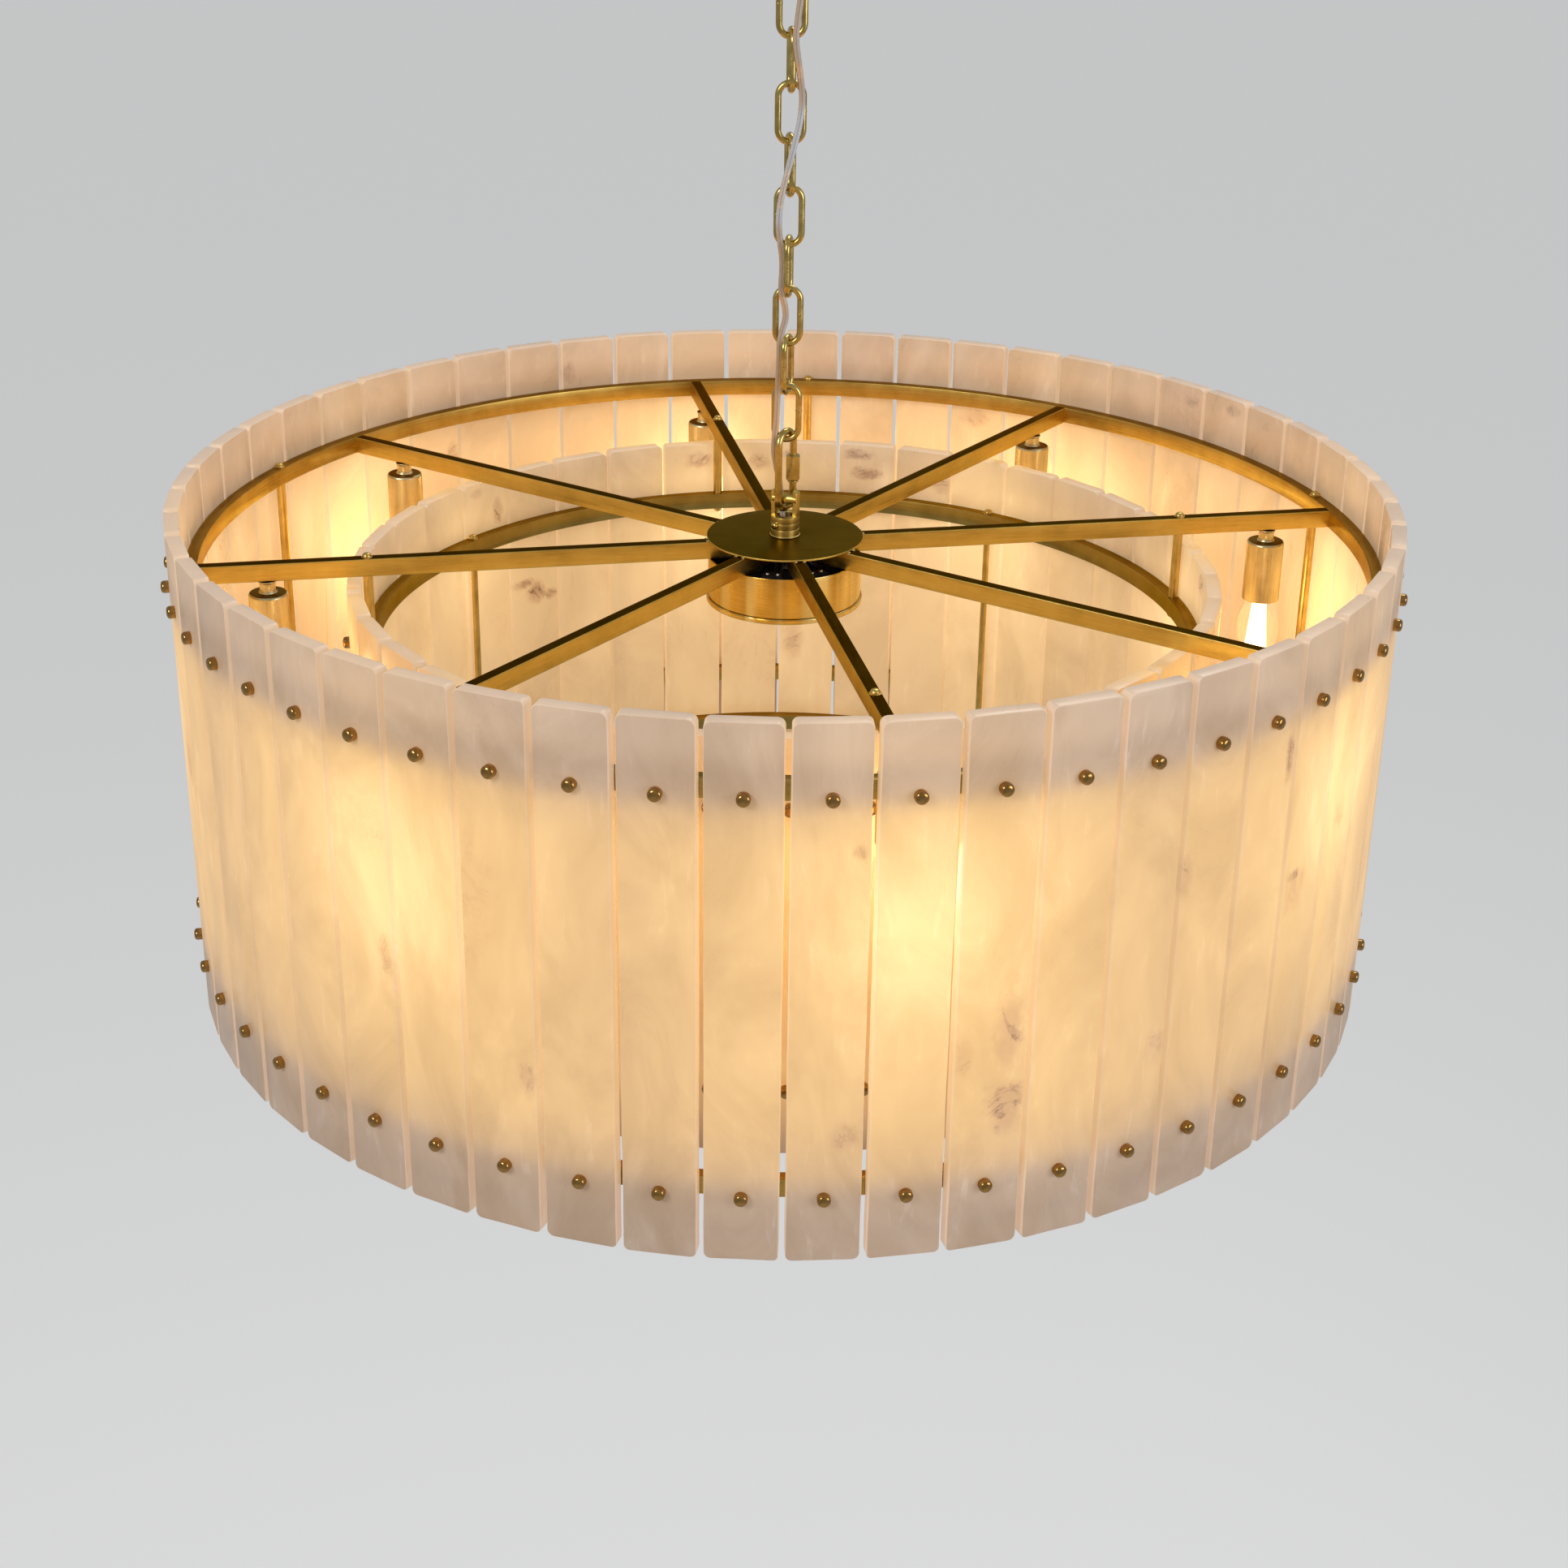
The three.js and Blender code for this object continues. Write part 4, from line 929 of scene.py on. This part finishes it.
def slat_shape(top, foot, rng):
    """One slat standing on +X from x = 0, with rounded corners, eased edges and hand-cut sides."""
    half = SLAT_WIDTH / 2
    outline = []
    for y, z, start in ((half, foot, 270), (half, top, 0), (-half, top, 90), (-half, foot, 180)):
        radius = rng.uniform(*CORNER_RADII)
        middle_y = y - math.copysign(radius, y)
        middle_z = z + (radius if z == foot else -radius)
        for k in range(CORNER_POINTS):
            angle = math.radians(start + 90 * k / (CORNER_POINTS - 1))
            outline.append((middle_y + radius * math.cos(angle), middle_z + radius * math.sin(angle)))
    dense = []
    for (y, z), (next_y, next_z) in zip(outline, outline[1:] + outline[:1]):
        steps = max(1, int(math.hypot(next_y - y, next_z - z) / SIDE_STEP))
        upright, level = abs(next_y - y) < 1, abs(next_z - z) < 1
        for k in range(steps):
            wobble = rng.uniform(-SIDE_WOBBLE, SIDE_WOBBLE) if k else 0
            dense.append((y + (next_y - y) * k / steps + wobble * upright,
                          z + (next_z - z) * k / steps + wobble * level))
    centre, reach = (top + foot) / 2, (top - foot) / 2 - EASED_END
    far_face = [(SLAT_THICKNESS - depth, inset) for depth, inset in reversed(EASED)]
    loops = []
    for x, inset in list(EASED) + far_face:
        loop = []
        for y, z in dense:
            lift = (inset if z < centre else -inset) if abs(z - centre) > reach else 0
            loop.append((x, y * (1 - inset / half), z + lift))
        loops.append(loop)
    return loft(loops)


def vein_places(verts, marks):
    """For each vein, how far every point of a slat is from its middle in half widths, and its strength."""
    layers = []
    for k in range(MARK_LAYERS):
        y, z, wide, high, strength = marks[k] if k < len(marks) else (0, 0, 1, 1, 0)
        layers.append([part for _, across, up in verts
                       for part in ((across - y) / wide, (up - z) / high, strength)])
    return layers


def drum(name, node, spec, rows, material, seed, marks):
    """The slats of a drum, and its rows of screws."""
    rng = random.Random(seed)
    azimuths = [spec["azimuth"] + 360 * i / spec["count"] for i in range(spec["count"])]
    for i, azimuth in enumerate(azimuths):
        top = spec["top"] + rng.uniform(-0.6, 0.6)
        shape = slat_shape(top, SLAT_FOOT + rng.uniform(-0.5, 0.5), rng)
        place = turned(azimuth, spec["inner"] + rng.uniform(0, 0.5), FRAME)
        offset = [rng.uniform(-STONE_SPREAD, STONE_SPREAD) for _ in range(3)]
        piece = Form().add(shape, place, offset).made(
            f"{name}_slat_{i + 1:02d}", material, "alabaster", "fixture", [node])
        mark(piece, "rim", [float(0.1 < x < SLAT_THICKNESS - 0.1) for x, _, _ in shape[0]])
        for k, layer in enumerate(vein_places(shape[0], marks.get(i + 1, []))):
            mark(piece, f"mark_{k}", layer, "FLOAT_VECTOR")
    head_x = spec["inner"] + SLAT_THICKNESS + SEAT
    for label, z in rows:
        heads = Form()
        for azimuth in azimuths:
            heads.add(lathe(HEAD_PROFILE, 24), turned(azimuth, head_x, FRAME + z) @ ONTO_X)
        heads.made(f"{name}_{label}_screws", screw_brass, *BRASS)


drum("outer", "outer_slats", OUTER_SLATS, (("upper", 0), ("lower", OUTER_LOW_Z)), outer_stone, 11,
     OUTER_MARKS)
drum("inner", "inner_slats", INNER_SLATS, (("upper", INNER_TOP_Z), ("lower", INNER_LOW_Z)), inner_stone, 29,
     INNER_MARKS)


# Lamps

SLEEVE_PROFILE = [
    (0, -18), (14.5, -22), (14.5, HOLDER_MOUTH), (16, HOLDER_MOUTH), (16, -19.8), (15.2, -18.4),
    (13.6, HOLDER_TOP), (7.6, HOLDER_TOP), (7.2, -16.6), (6.5, -16.2), (6.5, -9.4), (7.4, -9),
    (7.4, -7.8), (2.5, -7.8), (2.5, -3.5), (0, -3.5),
]
SOCKET_PROFILE = [(8, -66), (14.2, -66), (14.2, -40), (8, -40)]
# The heights of a bulb's profiles count from BULB_TOP.
GLASS_PROFILE = [
    (0, -98), (3.1, -95.8), (6.4, -91.2), (10.4, -85.6), (14.3, -77), (17.2, -69), (18.4, -61.5),
    (18.5, -57), (17.9, -49.5), (16.2, -43), (13, -35.5), (9.6, -29.5), (7.6, -26), (7.1, -24),
]
GLASS_END = [(0, -24)]
THREAD_FOOT, THREAD_PITCH, THREAD_COUNT = -22.6, 2.4, 7
BASE_PROFILE = [(0, -23.6), (7.2, -23.6)]
for k in range(THREAD_COUNT):
    crest = THREAD_FOOT + THREAD_PITCH * k
    BASE_PROFILE += [(7.0, crest), (6.5, crest + THREAD_PITCH / 2)]
BASE_PROFILE += [(6.4, -5), (4.4, -2.4), (2.4, -2.2), (2.2, -0.4), (0, -0.2)]
MOUNT_PROFILE = [(0, -24), (4.2, -24.2), (2.4, -30), (1.6, -38), (2.6, -41), (0, -42)]
FILAMENT_COUNT, FILAMENT_RADIUS, FILAMENT_TURN, FILAMENT_STEPS = 6, 1.8, 0.4, 8
FILAMENT_FROM, FILAMENT_TO = Vector((3.2, -0.6, BULB_TOP - 35)), Vector((5.4, 0.6, BULB_TOP - 78))


def in_bulb(profile):
    return [(radius, BULB_TOP + z) for radius, z in profile]


glass_outline = soften(in_bulb(GLASS_PROFILE), 3, steps=2) + in_bulb(GLASS_END)
filament_line = [FILAMENT_FROM.lerp(FILAMENT_TO, k / FILAMENT_STEPS) for k in range(FILAMENT_STEPS + 1)]
for i, azimuth in enumerate(SPOKE_AZIMUTHS):
    place, bulb = turned(azimuth, LAMP_RADIUS, FRAME), ("clear_bulb_glass", f"lamp_{i + 1}")
    Form().add(turning(SLEEVE_PROFILE, 0.6, 64), place).made(
        f"lamp_sleeve_{i + 1}", sleeve_brass, *BRASS, [f"lampholder_{i + 1}"])
    Form().add(turning(SOCKET_PROFILE, 0.8, 48, closed=True), place).made(
        f"lamp_socket_{i + 1}", porcelain, *BRASS)
    Form().add(lathe(glass_outline, 40), place).made(
        f"bulb_glass_{i + 1}", bulb_glass, *bulb, [f"bulb_{i + 1}"], sharp=60)
    Form().add(lathe(in_bulb(BASE_PROFILE), 32), place).made(
        f"bulb_cap_{i + 1}", base_metal, *bulb, sharp=50)
    wires = Form()
    for k in range(FILAMENT_COUNT):
        turn = Matrix.Rotation(2 * math.pi / FILAMENT_COUNT * k + FILAMENT_TURN, 4, "Z")
        wires.add(sweep([turn @ point for point in filament_line], circle(FILAMENT_RADIUS, 12)), place)
    wires.made(f"bulb_filament_{i + 1}", filament, *bulb)
    Form().add(lathe(in_bulb(MOUNT_PROFILE), 20), place).made(
        f"bulb_stem_{i + 1}", porcelain, *bulb)


# Cord

CORD_SIDES, CORD_LOBE, CORD_HALF_PITCH, CORD_SIDE = 14, 1.3, 1.25, (1.0, 0.12, 0.0)
CORD_CUTS = [("ceiling", -46.0)] + [(f"link_{k + 1}", FIRST_LINK - k * LINK_PITCH) for k in range(9)]
CORD_CUTS += [("quick", QUICK_Z), ("fixture", -505.0)]


def cord_section():
    """Two round lobes side by side, a little flattened between them."""
    section = []
    for a, b in circle(1, CORD_SIDES):
        apart = math.copysign(CORD_HALF_PITCH, a) * min(1, abs(a) * 2.4)
        flattened = 0.16 if abs(a) < 0.3 else 0
        section.append((apart + CORD_LOBE * a, CORD_LOBE * b * (1 - flattened)))
    return section


def cord():
    """The cord, cut into lengths at the heights of the bodies it passes; the first rides with the ceiling
    and the last with the fixture.
    """
    path, section = smooth_route(CORD_ROUTE, 5), cord_section()
    cuts = [min(range(len(path)), key=lambda k: abs(path[k].z - height)) for _, height in CORD_CUTS]
    cuts = [0] + cuts + [len(path) - 1]
    verts, _ = sweep(path, section, side=CORD_SIDE, steady=True)
    across = [a / (CORD_HALF_PITCH + CORD_LOBE) for a, _ in section]
    for n, (first, last) in enumerate(zip(cuts, cuts[1:])):
        loops = [verts[k * CORD_SIDES:(k + 1) * CORD_SIDES] for k in range(first, last + 1)]
        piece = Form().add(loft(loops)).made(
            f"cord_{n + 1:02d}", twin_cord, "clear_flex", nodes=["power_cord"])
        mark(piece, "across", across * len(loops))
        if n == 0:
            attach(piece, "ceiling")
        elif n == len(cuts) - 2:
            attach(piece, "fixture")
        else:
            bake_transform(piece)


cord()


# Floor, lights and camera

# Places and sizes here are metres.
FLOOR_HALF, FLOOR_Z = 60.0, -4.2
FLOOR_SEEN = 0.24  # how much the floor shines to the camera
BACKDROP_LIGHT, BACKDROP_SEEN = 0.42, 0.62  # what the backdrop lights with, and what the camera sees

floor_nodes = Nodes("pale_floor")
floor_colour = rgb(0.86, 0.86, 0.85)
seen = floor_nodes.put("LightPath").outputs["Is Camera Ray"]
floor_nodes.set(Base_Color=floor_colour, Roughness=0.9, Emission_Color=floor_colour,
                Emission_Strength=floor_nodes.times(seen, FLOOR_SEEN))
floor_mesh = bpy.data.meshes.new("floor")
floor_verts = [(x * FLOOR_HALF, y * FLOOR_HALF, FLOOR_Z) for x, y in ((-1, -1), (1, -1), (1, 1), (-1, 1))]
floor_mesh.from_pydata(floor_verts, [], [(0, 1, 2, 3)])
floor = bpy.data.objects.new("floor", floor_mesh)
scene.collection.objects.link(floor)
floor_mesh.materials.append(floor_nodes.material)

world = bpy.data.worlds.new("studio")
scene.world = world
world.use_nodes = True
world_tree = world.node_tree
backdrop = world_tree.nodes["Background"]
backdrop.inputs["Color"].default_value = rgb(0.96, 0.97, 1.0)
seen = world_tree.nodes.new("ShaderNodeLightPath").outputs["Is Camera Ray"]
strength = world_tree.nodes.new("ShaderNodeMapRange")
strength.inputs["To Min"].default_value = BACKDROP_LIGHT
strength.inputs["To Max"].default_value = BACKDROP_SEEN
world_tree.links.new(seen, strength.inputs["Value"])
world_tree.links.new(strength.outputs[0], backdrop.inputs["Strength"])

for name, place, aim, size, power in (
        ("key", (-2.6, -3.0, 1.6), (0, 0, -0.65), 1.8, 66),
        ("fill", (3.2, -2.2, 0.2), (0, 0, -0.65), 2.4, 46),
        ("back", (1.2, 2.6, 3.2), (0, 0, -0.6), 2.4, 50)):
    data = bpy.data.lights.new(name, "AREA")
    data.shape, data.size, data.energy = "DISK", size, power
    light = bpy.data.objects.new(name, data)
    scene.collection.objects.link(light)
    light.location = place
    light.rotation_euler = (Vector(aim) - Vector(place)).to_track_quat("-Z", "Y").to_euler()

# The camera as fitted to the photograph, with its focal length in pixels.
PHOTO_WIDTH, PHOTO_FOCAL, SENSOR_WIDTH = 1932, 3080.1, 36.0
CAMERA_BACK, CAMERA_UP = 1.9936, 0.6962  # from the axis, and up from FRAME
yaw, pitch, roll = math.radians(0.063), math.radians(24.716), math.radians(0.811)
camera_data = bpy.data.cameras.new("camera")
camera_data.sensor_width = SENSOR_WIDTH
camera_data.lens = SENSOR_WIDTH * PHOTO_FOCAL / PHOTO_WIDTH
camera_data.clip_end = 100
camera = bpy.data.objects.new("camera", camera_data)
scene.collection.objects.link(camera)
camera.matrix_world = (
    Matrix.Translation((0, -CAMERA_BACK, CAMERA_UP + FRAME * MM))
    @ Matrix.Rotation(-yaw, 4, "Z")
    @ Matrix.Rotation(math.pi / 2 - pitch, 4, "X")
    @ Matrix.Rotation(roll, 4, "Z")
)
scene.camera = camera
